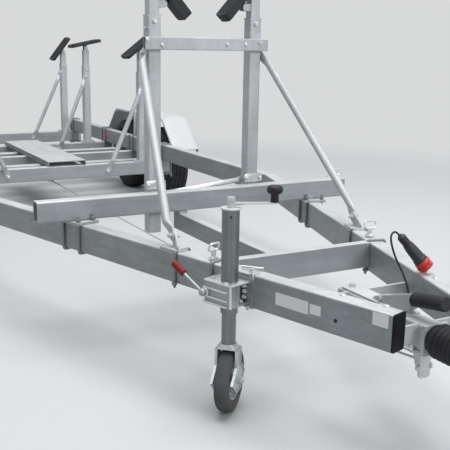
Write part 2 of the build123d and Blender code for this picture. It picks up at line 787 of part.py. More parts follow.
def jockey_rim():
    half = jockey_w / 2
    barrel = Cylinder(jockey_rim_r, jockey_w - 12) - Cylinder(jockey_rim_r - 6, jockey_w)
    disc = Cylinder(jockey_rim_r - 5, 10)
    hub = Cylinder(18, jockey_w + 2 * jockey_side_gap - 2)
    bore = Cylinder(jockey_pin_r + pin_gap, jockey_w * 2)
    holes = [Location((46 * cos(radians(a)), 46 * sin(radians(a)), 0)) * Cylinder(11, half) for a in range(0, 360, 72)]
    shape = barrel + disc + hub - bore
    for hole in holes:
        shape = shape - hole
    return jockey_centre() * shape


def arm_corners(y, wheel_y):
    # a bar that narrows from the axle tube to the wheel's stub
    run = Vector(wheel_y - y, tyre_r - axle_z, 0).normalized()
    across = Vector(-run.Y, run.X, 0)
    tube = Vector(y, axle_z, 0)
    stub = Vector(wheel_y, tyre_r, 0)
    spots = (tube + across * 36, stub + across * 26, stub - across * 26, tube - across * 36)
    return [(spot.X, spot.Y) for spot in spots]


def axle(wheel_y):
    # square tube under the rails, with a trailing arm and a stub at each end
    y = wheel_y - axle_lead
    end_x = arm_in_x
    shape = Location((0, y, axle_z)) * bar_x(axle_side, axle_side, 5.0, 8.0, 2 * end_x)
    for sign in (-1, 1):
        arm_x = sign * (arm_in_x + arm_t / 2)
        boss = Location((arm_x, y, axle_z), (0, 90, 0)) * Cylinder(axle_side / 2 + 4, arm_t)
        knuckle = Location((arm_x, wheel_y, tyre_r), (0, 90, 0)) * Cylinder(34, arm_t)
        web = prism_x(arm_corners(y, wheel_y), arm_x - arm_t / 2 + 3, arm_x + arm_t / 2 - 3)
        stub_len = stub_end_x - arm_in_x - arm_t
        stub_x = sign * (arm_in_x + arm_t + stub_len / 2)
        stub = Location((stub_x, wheel_y, tyre_r), (0, 90, 0)) * Cylinder(stub_r, stub_len)
        back_x = sign * (arm_in_x + arm_t + 3)
        back_plate = Location((back_x, wheel_y, tyre_r), (0, 90, 0)) * Cylinder(drum_r + 6, 6)
        rail_x = sign * (rail_out - beam_w / 2)
        seat = block(rail_x - beam_w / 2, rail_x + beam_w / 2, y - 75, y + 75, axle_z + axle_side / 2, member_top)
        shape = shape + boss + knuckle + web + stub + back_plate + seat
    return shape


def wheel_place(sign, wheel_y):
    # local Z points outwards from the trailer
    return Location((sign * (wheel_in_x + tyre_w / 2), wheel_y, tyre_r), (0, sign * 90, 0))


def tyre(sign, wheel_y):
    half = tyre_w / 2
    bead = half - 18
    with BuildSketch(Plane.XZ) as face:
        with BuildLine():
            Line((rim_r, -bead), (rim_r + 8, -bead - 5))
            ThreePointArc((rim_r + 8, -bead - 5), (rim_r + 62, -half), (tyre_r - 18, -half + 16))
            ThreePointArc((tyre_r - 18, -half + 16), (tyre_r - 5, -half + 24), (tyre_r, -half + 36))
            Line((tyre_r, -half + 36), (tyre_r, half - 36))
            ThreePointArc((tyre_r, half - 36), (tyre_r - 5, half - 24), (tyre_r - 18, half - 16))
            ThreePointArc((tyre_r - 18, half - 16), (rim_r + 62, half), (rim_r + 8, bead + 5))
            Line((rim_r + 8, bead + 5), (rim_r, bead))
            Line((rim_r, bead), (rim_r, -bead))
        make_face()
    return wheel_place(sign, wheel_y) * revolve(face.sketch, axis=Axis.Z)


def rim(sign, wheel_y):
    # rim barrel, dished disc, brake drum and hub, all turned about the stub
    half = tyre_w / 2
    bead = half - 18
    back = arm_in_x + arm_t + 6 + run_gap - wheel_in_x - half
    stub_end = stub_end_x - wheel_in_x - half + run_gap
    well = rim_r - 16
    barrel = (
        (rim_r + 8, -bead - 8),
        (rim_r + 8, -bead - 5),
        (rim_r, -bead),
        (rim_r, -bead + 22),
        (well, -bead + 32),
        (well, bead - 46),
        (rim_r, bead - 26),
        (rim_r, bead),
        (rim_r + 8, bead + 5),
        (rim_r + 8, bead + 8),
        (rim_r - 4, bead + 6),
        (rim_r - 5, bead - 26),
        (well - 5, bead - 46),
        (well - 5, -bead + 32),
        (rim_r - 5, -bead + 20),
        (rim_r - 4, -bead - 6),
    )
    disc = (
        (well - 3, disc_z - 34),
        (well - 3, disc_z - 24),
        (118, disc_z + 6),
        (98, disc_z + 12),
        (80, disc_z + 8),
        (hub_r, disc_z + 8),
        (hub_r, disc_z),
        (82, disc_z),
        (98, disc_z + 4),
        (114, disc_z - 2),
        (well - 9, disc_z - 34),
    )
    drum = (
        (drum_r, back),
        (drum_r, disc_z),
        (stub_r + 12, disc_z),
        (stub_r + 12, disc_z - 10),
        (drum_r - 9, disc_z - 10),
        (drum_r - 9, back),
    )
    hub = (
        (stub_r + pin_gap, -58),
        (stub_r + pin_gap, stub_end),
        (0, stub_end),
        (0, disc_z + 40),
        (hub_cap_r - 4, disc_z + 40),
        (hub_cap_r, disc_z + 34),
        (hub_cap_r, disc_z + 10),
        (hub_r + 4, disc_z + 8),
        (hub_r + 4, -58),
    )
    shape = ring_z(barrel) + ring_z(disc) + ring_z(drum) + ring_z(hub)
    for i in range(rim_slots):
        a = 360 / rim_slots * i
        spot = Location((0, 0, 0), (0, 0, a)) * Location((138, 0, disc_z))
        shape = shape - spot * Cylinder(slot_r, 90)
    return wheel_place(sign, wheel_y) * shape


def mudguard(sign):
    # flat-topped guard over both wheels, with its stays to the side rail
    front = wheel_rows[0] - tyre_r - guard_end
    back = wheel_rows[1] + tyre_r + guard_end
    low = guard_low_z
    top = guard_top_z
    lip = guard_t / cos(atan2(guard_slope, top - low))
    outer = ((front, low), (front + guard_slope, top), (back - guard_slope, top), (back, low))
    inner = (
        (back - lip, low),
        (back - guard_slope - lip * 0.7, top - guard_t),
        (front + guard_slope + lip * 0.7, top - guard_t),
        (front + lip, low),
    )
    arch = (
        (front + 60, low - 10),
        (front + guard_slope + 30, top - guard_skirt),
        (back - guard_slope - 30, top - guard_skirt),
        (back - 60, low - 10),
    )
    far_x = guard_in_x + guard_w
    shape = prism_x(outer + inner, guard_in_x, far_x)
    shape = shape + prism_x(outer, far_x - guard_t, far_x) - prism_x(arch, far_x - guard_t - 1, far_x + 1)
    reach = far_x - guard_t
    end_stays = (front + 8, back - 8 - guard_stay)
    for y in end_stays:
        shape = shape + block(rail_out, reach, y, y + guard_stay, low, low + 8)
    mid = (wheel_rows[0] + wheel_rows[1]) / 2
    y0 = mid - guard_stay / 2
    y1 = mid + guard_stay / 2
    shape = shape + block(rail_out, rail_out + 8, y0, y1, frame_top - 60, top - guard_t)
    shape = shape + block(rail_out, reach, y0, y1, top - guard_t - 6, top - guard_t)
    return shape if sign > 0 else mirror(shape, about=Plane.YZ)


def rear_lamps():
    # a lamp on the rear face of the last cross member, each side
    group = []
    for sign in (-1, 1):
        body = Location((sign * lamp_x, lamp_y + lamp_d / 2, member_top - member_h / 2)) * Box(lamp_w, lamp_d, lamp_h)
        group.append(fillet(body.edges().filter_by(Axis.Y), 10))
    return Compound(children=group)


def cord(points, r):
    # tube along straight runs joined by tangent arcs
    spots = [Vector(*p) for p in points]
    radii = []
    for a, b, c in zip(spots, spots[1:], spots[2:]):
        first = b - a
        second = c - b
        half_turn = radians(first.get_angle(second)) / 2
        radii.append(cord_share * min(first.length, second.length) / tan(half_turn))
    path = FilletPolyline(*spots, radius=radii)
    start = Plane(origin=spots[0], z_dir=spots[1] - spots[0])
    tube = sweep(start * Circle(r), path=path)
    print("tightest arc", round(min(radii), 1), "length", round(path.length, 1))
    print("volume over section times length", round(tube.volume / (3.14159265 * r * r * path.length), 4))
    return tube


plug_axis = (Vector(*plug_tip) - Vector(*plug_foot)).normalized()


plug_len = (Vector(*plug_tip) - Vector(*plug_foot)).length
plug_place = Plane(origin=plug_foot, z_dir=plug_axis).location


def plug_cap():
    # screw cap with a raised band
    outline = (
        (0, 0),
        (cap_r - 3, 0),
        (cap_r, 4),
        (cap_r, 12),
        (cap_r - 2, 14),
        (cap_r - 2, 20),
        (cap_r, 22),
        (cap_r, cap_len),
        (0, cap_len),
    )
    return plug_place * ring_z(outline)


def plug_body():
    # moulded handle that narrows to the cable
    bore = cable_r + gland_gap
    outline = (
        (0, cap_len),
        (22, cap_len),
        (22, cap_len + 14),
        (19, cap_len + 18),
        (13, plug_len - 12),
        (9, plug_len),
        (bore, plug_len),
        (bore, plug_len - 30),
        (0, plug_len - 30),
    )
    return plug_place * ring_z(outline)


def cable_gland():
    # nut on the left side of the overrun housing
    x, y, z = cable_route[0]
    return rod((tube_w / 2, y, z), (x - gland_gap, y, z), 10)


for side, sign in SIDES:
    write(drawbar(sign), "drawbar_" + side)
    write(side_rail(sign), "side_rail_" + side)
    write(bow_post(sign) + bow_pad_ears(sign), "bow_post_" + side)
    write(bow_stay(sign) + bow_foot(sign), "bow_stay_" + side)
    pivot = bow_pad_pivot(sign)
    tilt = Location((pivot.X, pivot.Y, pivot.Z), (0, -sign * bow_pad_tilt, 0))
    write(tilt * pad_shape(bow_pad_len, bow_pad_w, bow_pad_t, bow_pivot_to_pad), "bow_pad_" + side)
    write(mudguard(sign), "mudguard_" + side)
    for row, member, x, top_z, low_x, top_x in prop_rows:
        label = side + "_" + row
        y = member_y[member] + member_w / 2
        place = Location((sign * x, y, top_z + pivot_rise), (0, -sign * pad_tilts[label], 0))
        write(place * pad_shape(pad_len, pad_w, pad_t, pivot_to_pad), "prop_pad_" + label)
    for row, wheel_y in zip(("front", "rear"), wheel_rows):
        write(tyre(sign, wheel_y), "tyre_" + side + "_" + row)
        write(rim(sign, wheel_y), "rim_" + side + "_" + row)

for row, member, x, top_z, low_x, top_x in prop_rows:
    pair = [prop(member, x, top_z, sign) + prop_stay(member, low_x, top_x, sign) for sign in (-1, 1)]
    write(Compound(children=pair), "props_" + row)

for name, y in member_rows:
    place = Location((0, y + member_w / 2, member_top - member_h / 2))
    write(place * bar_x(member_w, member_h, member_wall, beam_round, 2 * rail_out), name)

write(Compound(children=[drawbar_cap(sign) for sign in (-1, 1)]), "drawbar_caps")
write(front_crossbar(), "front_crossbar")
write(post_crossbeam() + crossbeam_saddles(), "post_crossbeam")
write(centre_tie(), "centre_tie")
bar_mid = Location((post_mid_x, post_beam_y + post_beam_w - post_bar_d / 2, post_bar_z + post_bar_h / 2))
bar_len = 2 * (post_half_gap + post_w / 2 + post_bar_over)
write(bar_mid * bar_x(post_bar_d, post_bar_h, 3.0, 4.0, bar_len), "post_bar")
write(keel_plank(), "keel_plank")
write(overrun_housing() + cable_gland(), "overrun_housing")
write(relay_lever() + brake_rod(), "brake_linkage")
write(bellows(), "bellows")
write(coupling_head(), "coupling_head")
write(handbrake_lever(), "handbrake_lever")
write(handbrake_grip(), "handbrake_grip")
write(jack_clamp() + clamp_screw(), "jack_clamp")
write(clamp_grip(), "clamp_grip")
write(jack_tube() + jack_crank(), "jack_tube")
write(crank_grip(), "crank_grip")
write(jack_leg(), "jack_leg")
write(jockey_fork(), "jockey_fork")
write(jockey_tyre(), "jockey_tyre")
write(jockey_rim(), "jockey_rim")
write(axle(wheel_rows[0]), "axle_front")
write(axle(wheel_rows[1]), "axle_rear")
write(rear_lamps(), "rear_lamps")
write(plug_cap(), "plug_cap")
write(plug_body(), "plug_body")
write(cord(cable_route, cable_r), "plug_cable")
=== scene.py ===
import json
import math

import bmesh
import bpy
from mathutils import Matrix, Vector


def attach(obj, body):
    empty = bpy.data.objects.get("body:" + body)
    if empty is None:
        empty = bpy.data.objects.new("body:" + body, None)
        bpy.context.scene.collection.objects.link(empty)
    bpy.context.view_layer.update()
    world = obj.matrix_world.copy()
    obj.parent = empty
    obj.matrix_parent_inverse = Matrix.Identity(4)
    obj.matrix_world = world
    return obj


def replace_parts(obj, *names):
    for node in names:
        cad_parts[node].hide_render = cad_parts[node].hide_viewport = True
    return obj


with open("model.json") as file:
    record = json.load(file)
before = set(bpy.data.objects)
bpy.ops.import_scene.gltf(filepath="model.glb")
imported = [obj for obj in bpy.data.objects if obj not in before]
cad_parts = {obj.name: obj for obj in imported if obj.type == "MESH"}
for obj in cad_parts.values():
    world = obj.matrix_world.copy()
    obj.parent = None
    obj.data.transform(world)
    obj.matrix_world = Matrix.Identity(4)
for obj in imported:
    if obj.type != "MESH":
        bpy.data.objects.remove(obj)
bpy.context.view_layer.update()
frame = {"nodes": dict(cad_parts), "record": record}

MM = 0.001

# Sizes are given in millimetres from the drawbar ends. The CAD's origin lies this far behind them.
ORIGIN_Y = 2923.0

# Camera, from the drawbar ends in millimetres
CAMERA_PLACE = (-1644.0, -1653.0, 1266.0)
CAMERA_YAW = 28.8
CAMERA_PITCH = 13.0
CAMERA_ROLL = 1.0
FOCAL_PIXELS = 780.0
IMAGE_PIXELS = 450.0
SENSOR_MM = 36.0

# Sizes shared with the source, in millimetres
FRAME_TOP = 506.0
BEAM_W = 65.0
BEAM_H = 120.0
V_ANGLE = math.radians(17.0)
V_FRONT_X = 171.0
RAIL_OUT = 880.0
MEMBER_ROWS = (3850.0, 4460.0, 5120.0, 6060.0)
MEMBER_W = 60.0
MEMBER_H = 100.0
POST_BEAM_Y = 1520.0
POST_BEAM_W = 63.0
SADDLE_T = 12.0
POST_W = 60.0
POST_MID_X = 24.0
POST_HALF_GAP = 257.0
# row, its Y, the posts' X, the posts' top, the stay's X at its foot and at its head
PROP_ROWS = (
    ("1", 3850.0, 655.0, 1196.0, 370.0, 655.0),
    ("2", 5120.0, 655.0, 1200.0, 377.0, 640.0),
    ("3", 6060.0, 738.0, 1156.0, 400.0, 700.0),
)
PROP_STAY_LOW = 330.0
PROP_STAY_HIGH = 975.0
PAD_PIVOT_UP = 21.0
# Tilts of the pads and turn of the castor at rest, in degrees
PAD_TILTS = {
    "right_1": 30.0, "left_1": 38.0,
    "right_2": 16.0, "left_2": 12.0,
    "right_3": 34.0, "left_3": 52.0,
}
BOW_PAD_TILT = 48.0
CASTOR_TURN = -45.0
WHEEL_ROWS = (("front", 4225.0), ("rear", 4925.0))
WHEEL_MID_X = 1007.5
TYRE_R = 300.0
JACK_OFF = 55.0
JACK_Y = 567.0
SIDES = (("right", -1), ("left", 1))


def place(x, y, z):
    """A point given in millimetres from the drawbar ends, in the part's frame in metres."""
    return Vector((x * MM, (y - ORIGIN_Y) * MM, z * MM))


def shift(x, y, z):
    return Matrix.Translation((x, y, z))


def turned(degrees, axis):
    return Matrix.Rotation(math.radians(degrees), 4, axis)


# Materials


class Nodes:
    """A material's node tree with short calls to add and join nodes."""

    def __init__(self, name):
        self.material = bpy.data.materials.new(name)
        self.material.use_nodes = True
        self.tree = self.material.node_tree
        self.shader = self.tree.nodes["Principled BSDF"]
        where = self.tree.nodes.new("ShaderNodeTexCoord")
        self.coords = where.outputs["Object"]
        self.normals = where.outputs["Normal"]

    def top_light_mask(self):
        """1 on upward faces, 0 on upright ones: the mask for light painted on the tops."""
        node = self.tree.nodes.new("ShaderNodeSeparateXYZ")
        self.join(self.normals, node.inputs[0])
        return self.ramp(node.outputs["Z"], (0.35, 0.0), (0.85, 1.0))

    def set(self, **values):
        for name, value in values.items():
            self.shader.inputs[name.replace("_", " ")].default_value = value

    def join(self, source, target):
        self.tree.links.new(source, target)

    def noise(self, scale, detail=3.0, rough=0.55, stretch=None):
        node = self.tree.nodes.new("ShaderNodeTexNoise")
        node.inputs["Scale"].default_value = scale
        node.inputs["Detail"].default_value = detail
        node.inputs["Roughness"].default_value = rough
        self.join(self.stretched(stretch), node.inputs["Vector"])
        return node.outputs["Fac"]

    def cells(self, scale):
        node = self.tree.nodes.new("ShaderNodeTexVoronoi")
        node.inputs["Scale"].default_value = scale
        self.join(self.coords, node.inputs["Vector"])
        return node.outputs["Color"]

    def stretched(self, stretch):
        if stretch is None:
            return self.coords
        node = self.tree.nodes.new("ShaderNodeMapping")
        node.inputs["Scale"].default_value = stretch
        self.join(self.coords, node.inputs["Vector"])
        return node.outputs["Vector"]

    def ramp(self, source, *stops):
        node = self.tree.nodes.new("ShaderNodeValToRGB")
        ramp = node.color_ramp
        while len(ramp.elements) < len(stops):
            ramp.elements.new(0.5)
        for element, (position, colour) in zip(ramp.elements, stops):
            element.position = position
            element.color = grey(colour) if isinstance(colour, float) else (*colour, 1.0)
        self.join(source, node.inputs["Fac"])
        return node.outputs["Color"]

    def mix(self, factor, first, second, kind="MIX"):
        node, *sockets, result = colour_mix(self.tree)
        node.blend_type = kind
        for value, socket in zip((factor, first, second), sockets):
            if isinstance(value, bpy.types.NodeSocket):
                self.join(value, socket)
            elif isinstance(value, float):
                socket.default_value = value if socket.type == "VALUE" else grey(value)
            else:
                socket.default_value = (*value, 1.0)
        return result

    def bump(self, height, strength, distance):
        node = self.tree.nodes.new("ShaderNodeBump")
        node.inputs["Strength"].default_value = strength
        node.inputs["Distance"].default_value = distance
        self.join(height, node.inputs["Height"])
        self.join(node.outputs["Normal"], self.shader.inputs["Normal"])


def grey(value):
    return (value, value, value, 1.0)


def colour_mix(tree):
    """A mix node with its factor, its two colours and its result."""
    node = tree.nodes.new("ShaderNodeMix")
    node.data_type = "RGBA"
    factor = [s for s in node.inputs if s.name == "Factor" and s.type == "VALUE"][0]
    first, second = [s for s in node.inputs if s.type == "RGBA"]
    result = [s for s in node.outputs if s.type == "RGBA"][0]
    return node, factor, first, second, result


# Stretches of a texture, so that its streaks run along an axis
ALONG_X = (0.05, 1.0, 1.0)
ALONG_Y = (1.0, 0.05, 1.0)
ALONG_Z = (1.0, 1.0, 0.05)
DRAWN_ALONG_Z = (1.0, 1.0, 0.02)


def galvanised(
    name,
    colour,
    streak,
    contrast=0.10,
    rough=(0.36, 0.50),
    spangle=210.0,
    metal=0.20,
    streaky=0.14,
    streak_scale=42.0,
    top=None,
):
    """Zinc: fine crystal spangle, cloudy patches, drawn streaks and pale bloom; a given top colour is painted
    on upward faces as painted light on the tops.
    """
    m = Nodes(name)
    # painted light: upward faces are mixed towards the paler top colour, which stands in for light falling on
    # the tops
    base = colour if top is None else m.mix(m.top_light_mask(), colour, top)
    cells = m.cells(spangle)
    flake = m.ramp(cells, (0.15, 1.0 - contrast), (0.85, 1.0))
    clouds = m.noise(3.6, 5.0)
    cloudy = m.ramp(clouds, (0.34, 0.84), (0.62, 1.0))
    streaks = m.ramp(m.noise(streak_scale, 3.0, stretch=streak), (0.36, 1.0 - streaky), (0.66, 1.0))
    bloom = m.ramp(m.noise(11.0, 6.0, 0.65), (0.58, 0.0), (0.74, 0.35))
    tone = m.mix(1.0, m.mix(1.0, base, flake, "MULTIPLY"), cloudy, "MULTIPLY")
    tone = m.mix(1.0, tone, streaks, "MULTIPLY")
    pale = m.mix(1.0, base, 1.22, "MULTIPLY")
    m.join(m.mix(bloom, tone, pale), m.shader.inputs["Base Color"])
    m.join(m.ramp(clouds, (0.3, rough[0]), (0.7, rough[1])), m.shader.inputs["Roughness"])
    m.set(Metallic=metal)
    m.bump(m.noise(22.0, 1.0), 0.06, 0.0008)
    return m.material


def rubber(name, colour, rough, grain=900.0, dusty=1.9):
    """Matte rubber with a fine grain and a trace of dust."""
    m = Nodes(name)
    dust = m.noise(14.0, 6.0)
    pale = tuple(min(1.0, c * dusty + 0.006) for c in colour)
    m.join(m.ramp(dust, (0.40, colour), (0.72, pale)), m.shader.inputs["Base Color"])
    m.join(m.ramp(dust, (0.3, rough - 0.08), (0.7, rough + 0.14)), m.shader.inputs["Roughness"])
    m.set(Specular_IOR_Level=0.3)
    m.bump(m.noise(grain, 2.0), 0.25, 0.0004)
    return m.material


def plastic(name, colour, rough, wear=0.10, gloss=0.4):
    """Moulded plastic with a fine mould texture and slight fading."""
    grain = 1400.0
    m = Nodes(name)
    fade = m.noise(22.0, 4.0)
    worn = tuple(min(1.0, c * (1 - wear) + wear * 0.5) for c in colour)
    m.join(m.ramp(fade, (0.42, colour), (0.75, worn)), m.shader.inputs["Base Color"])
    m.join(m.ramp(fade, (0.3, rough), (0.75, rough + 0.12)), m.shader.inputs["Roughness"])
    m.set(Specular_IOR_Level=gloss)
    m.bump(m.noise(grain, 1.0), 0.10, 0.0003)
    return m.material


# paler colour painted on the upward faces of the drawbars and cross members as painted light from above
ZINC_PAINTED_TOP_LIGHT = (0.640, 0.665, 0.675)
LONG_ZINC = galvanised("zinc_long", (0.345, 0.375, 0.390), ALONG_Y, top=ZINC_PAINTED_TOP_LIGHT)
CROSS_ZINC = galvanised("zinc_cross", (0.425, 0.458, 0.475), ALONG_X, top=ZINC_PAINTED_TOP_LIGHT)
TALL_ZINC = galvanised("zinc_tall", (0.600, 0.635, 0.655), ALONG_Z)
STAY_ZINC = galvanised(
    "zinc_stay", (0.580, 0.600, 0.607), None,
    contrast=0.02, rough=(0.52, 0.64), streaky=0.05, streak_scale=9.0,
)
CLAMP_ZINC = galvanised(
    "zinc_clamp", (0.400, 0.440, 0.430), ALONG_Z,
    contrast=0.05, rough=(0.30, 0.42), spangle=320.0, metal=0.45, streaky=0.12,
)
DULL = galvanised(
    "dull_zinc", (0.270, 0.290, 0.300), ALONG_Z, contrast=0.06, rough=(0.45, 0.60), spangle=300.0, metal=0.45
)
DRAWN = galvanised(
    "drawn_tube", (0.215, 0.236, 0.246), DRAWN_ALONG_Z,
    contrast=0.02, rough=(0.34, 0.42), spangle=300.0, metal=0.80, streaky=0.22, streak_scale=60.0,
)
PLATED = galvanised(
    "zinc_plated", (0.620, 0.655, 0.665), ALONG_Y,
    contrast=0.05, rough=(0.26, 0.38), spangle=420.0, metal=0.60, streaky=0.10,
)
BRIGHT = galvanised(
    "bright_zinc", (0.720, 0.740, 0.745), ALONG_Y,
    contrast=0.04, rough=(0.24, 0.34), spangle=500.0, metal=0.70, streaky=0.05,
)
RIM = galvanised(
    "rim_steel", (0.560, 0.580, 0.590), ALONG_X,
    contrast=0.06, rough=(0.30, 0.42), spangle=260.0, metal=0.70, streaky=0.05,
)
TYRE = rubber("tyre_rubber", (0.020, 0.020, 0.022), rough=0.66, grain=700.0)
DUSTY_TYRE = rubber("dusty_tyre", (0.085, 0.085, 0.085), rough=0.78, grain=500.0, dusty=1.5)
BLACK_RUBBER = rubber("black_rubber", (0.014, 0.014, 0.016), rough=0.50)
PAD = rubber("pad_rubber", (0.022, 0.023, 0.026), rough=0.58, grain=500.0)
BLACK_PLASTIC = plastic("black_plastic", (0.007, 0.007, 0.008), rough=0.50, wear=0.02, gloss=0.15)
PLUG_GREY = plastic("plug_grey", (0.040, 0.040, 0.042), rough=0.42, wear=0.04, gloss=0.3)
RED = plastic("red_plastic", (0.56, 0.035, 0.028), rough=0.34, wear=0.06)
ORANGE = plastic("orange_plastic", (0.21, 0.020, 0.013), rough=0.46, wear=0.02, gloss=0.2)
WHITE = plastic("white_plastic", (0.58, 0.60, 0.61), rough=0.36, wear=0.05)
LABEL = plastic("label_film", (0.90, 0.92, 0.92), rough=0.42, wear=0.04)
LAMP = plastic("lamp_lens", (0.45, 0.02, 0.02), rough=0.18)
AMBER = plastic("amber_lens", (0.75, 0.24, 0.02), rough=0.18)

SLOT_FINISH = {
    "galvanised_steel": LONG_ZINC,
    "zinc_steel": PLATED,
    "rim_steel": RIM,
    "tyre_rubber": TYRE,
    "black_rubber": BLACK_RUBBER,
    "pad_rubber": PAD,
    "black_plastic": BLACK_PLASTIC,
    "red_plastic": RED,
    "orange_plastic": ORANGE,
    "white_plastic": WHITE,
    "lamp_red": LAMP,
}
NODE_FINISH = {
    "front_crossbar": CROSS_ZINC,
    "post_crossbeam": CROSS_ZINC,
    "post_bar": TALL_ZINC,
    "bow_post_left": TALL_ZINC,
    "bow_post_right": TALL_ZINC,
    "props_1": TALL_ZINC,
    "props_2": TALL_ZINC,
    "props_3": TALL_ZINC,
    "jack_tube": DRAWN,
    "jack_leg": DRAWN,
    "jockey_tyre": DUSTY_TYRE,
    "jockey_fork": PLATED,
    "jack_clamp": CLAMP_ZINC,
    "handbrake_lever": STAY_ZINC,
    "overrun_housing": STAY_ZINC,
}
for number in range(1, 5):
    NODE_FINISH["crossmember_" + str(number)] = CROSS_ZINC

slot_of = {row["node"]: row["material_slot"] for row in frame["record"]["subparts"]}
for node_name, node in frame["nodes"].items():
    node.data.materials.clear()
    node.data.materials.append(NODE_FINISH.get(node_name, SLOT_FINISH[slot_of[node_name]]))


# Mesh building. A shape is a pair of lists, points in millimetres and faces.


class Shell:
    """Shapes gathered into one piece."""

    def __init__(self):
        self.points = []
        self.faces = []

    def add(self, shape, where=None):
        points, faces = shape
        start = len(self.points)
        for point in points:
            spot = Vector(point)
            self.points.append(where @ spot if where is not None else spot)
        self.faces += [tuple(start + i for i in face) for face in faces]
        return self

    def piece(self, name, body, slot, material, sharp=32.0):
        """One object of the shapes, that rides on a body."""
        mesh = bpy.data.meshes.new(name)
        mesh.from_pydata([place(*point) for point in self.points], [], self.faces)
        work = bmesh.new()
        work.from_mesh(mesh)
        bmesh.ops.recalc_face_normals(work, faces=work.faces)
        work.to_mesh(mesh)
        work.free()
        mesh.shade_smooth()
        mesh.set_sharp_from_angle(angle=math.radians(sharp))
        mesh.materials.append(material)
        thing = bpy.data.objects.new(name, mesh)
        bpy.context.scene.collection.objects.link(thing)
        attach(thing, body)
        return thing


def lathe(profile, sides):
    """A profile of radius and height turned about Z."""
    points, faces, rings = [], [], []
    for r, z in profile:
        if r < 1e-6:
            rings.append([len(points)] * sides)
            points.append((0.0, 0.0, z))
            continue
        rings.append(list(range(len(points), len(points) + sides)))
        for i in range(sides):
            a = 2 * math.pi * i / sides
            points.append((r * math.cos(a), r * math.sin(a), z))
    for low, high in zip(rings, rings[1:]):
        for i in range(sides):
            j = (i + 1) % sides
            corners = list(dict.fromkeys((low[i], low[j], high[j], high[i])))
            if len(corners) > 2:
                faces.append(tuple(corners))
    return points, faces


def slab(outline, low, high, bevel):
    """An outline in X and Y pulled along Z, its edges rounded."""
    work = bmesh.new()
    face = work.faces.new([work.verts.new((x, y, low)) for x, y in outline])
    raised = bmesh.ops.extrude_face_region(work, geom=[face])["geom"]
    top = [v for v in raised if isinstance(v, bmesh.types.BMVert)]
    bmesh.ops.translate(work, verts=top, vec=(0, 0, high - low))
    bmesh.ops.recalc_face_normals(work, faces=work.faces)
    bmesh.ops.bevel(work, geom=list(work.edges), offset=bevel, segments=2, affect="EDGES", profile=0.5)
    work.verts.index_update()
    shape = [tuple(v.co) for v in work.verts], [tuple(v.index for v in f.verts) for f in work.faces]
    work.free()
    return shape


def oblong(x0, x1, y0, y1, cut=0.0):
    """A rectangle, its corners cut off where asked."""
    if not cut:
        return [(x0, y0), (x1, y0), (x1, y1), (x0, y1)]
    return [
        (x0 + cut, y0), (x1 - cut, y0), (x1, y0 + cut), (x1, y1 - cut),
        (x1 - cut, y1), (x0 + cut, y1), (x0, y1 - cut), (x0, y0 + cut),
    ]


def skin(rings, loop=False):
    """Faces over rings of equal count, each a closed ring of points."""
    points, faces = [], []
    count = len(rings[0])
    for ring in rings:
        points += [tuple(p) for p in ring]
    spans = len(rings) if loop else len(rings) - 1
    for k in range(spans):
        low = k * count
        high = ((k + 1) % len(rings)) * count
        for i in range(count):
            j = (i + 1) % count
            faces.append((low + i, low + j, high + j, high + i))
    if not loop:
        faces.append(tuple(reversed(range(count))))
        faces.append(tuple(range(len(points) - count, len(points))))
    return points, faces


def bar(path, r, sides=12, loop=False):
    """A round bar along a path of points."""
    spots = [Vector(p) for p in path]
    count = len(spots)
    ways = []
    for i in range(count):
        before = spots[i - 1] if i or loop else spots[0]
        after = spots[(i + 1) % count] if i < count - 1 or loop else spots[-1]
        ways.append((after - before).normalized())
    side = ways[0].orthogonal().normalized()
    rings = []
    for spot, way in zip(spots, ways):
        side = (side - way * side.dot(way)).normalized()
        other = way.cross(side)
        ring = []
        for i in range(sides):
            a = 2 * math.pi * i / sides
            ring.append(spot + (side * math.cos(a) + other * math.sin(a)) * r)
        rings.append(ring)
    return skin(rings, loop=loop)


def bent(corners, r, steps=5, loop=False):
    """A bar's path: corners joined by bends of radius r."""
    spots = [Vector(c) for c in corners]
    count = len(spots)
    path = []
    for i, spot in enumerate(spots):
        if not loop and i in (0, count - 1):
            path.append(spot)
            continue
        back = (spots[i - 1] - spot).normalized()
        ahead = (spots[(i + 1) % count] - spot).normalized()
        half = back.angle(ahead) / 2
        reach = r / math.tan(half)
        start = spot + back * reach
        end = spot + ahead * reach
        for k in range(steps + 1):
            t = k / steps
            path.append(start * (1 - t) ** 2 + spot * 2 * t * (1 - t) + end * t ** 2)
    return path


def aim(spot, way, spin=0.0):
    """The matrix that carries local Z to a way at a spot."""
    turn = Vector(way).to_track_quat("Z", "Y").to_matrix().to_4x4()
    return shift(*spot) @ turn @ turned(spin, "Z")


def bolt(across, washer, stud=0.0):
    """Hexagon head on a washer, with the end of its stud."""
    shell = Shell()
    edge = washer - 0.6
    shell.add(lathe(((0, -0.5), (edge, -0.5), (washer, 0.4), (washer, 1.8), (edge, 2.4), (0, 2.4)), 24))
    r = across / math.sqrt(3)
    seat, high = 2.2, across * 0.44
    top = seat + high
    head = ((0, seat), (r * 0.97, seat), (r, 3.0), (r, seat + high * 0.80), (r * 0.87, top), (0, top))
    shell.add(lathe(head, 6))
    if stud:
        core = across * 0.29
        tip = top + stud
        shell.add(lathe(((0, 2.0), (core, 2.0), (core, tip - 1.2), (core - 1.2, tip), (0, tip)), 14))
    return shell.points, shell.faces


def button():
    """A low round head."""
    r, high = 11.0, 6.0
    profile = ((0, -0.5), (r, -0.5), (r, 1.2), (r * 0.86, high * 0.66), (r * 0.5, high * 0.94), (0, high))
    return lathe(profile, 20)


def drawbar_mid_x(y):
    return V_FRONT_X + y * math.tan(V_ANGLE) - BEAM_W / math.cos(V_ANGLE) / 2


def on_beam(sign, y):
    """The frame on top of a drawbar, its local Y along the drawbar."""
    return shift(sign * drawbar_mid_x(y), y, FRAME_TOP) @ Matrix.Rotation(-sign * V_ANGLE, 4, "Z")


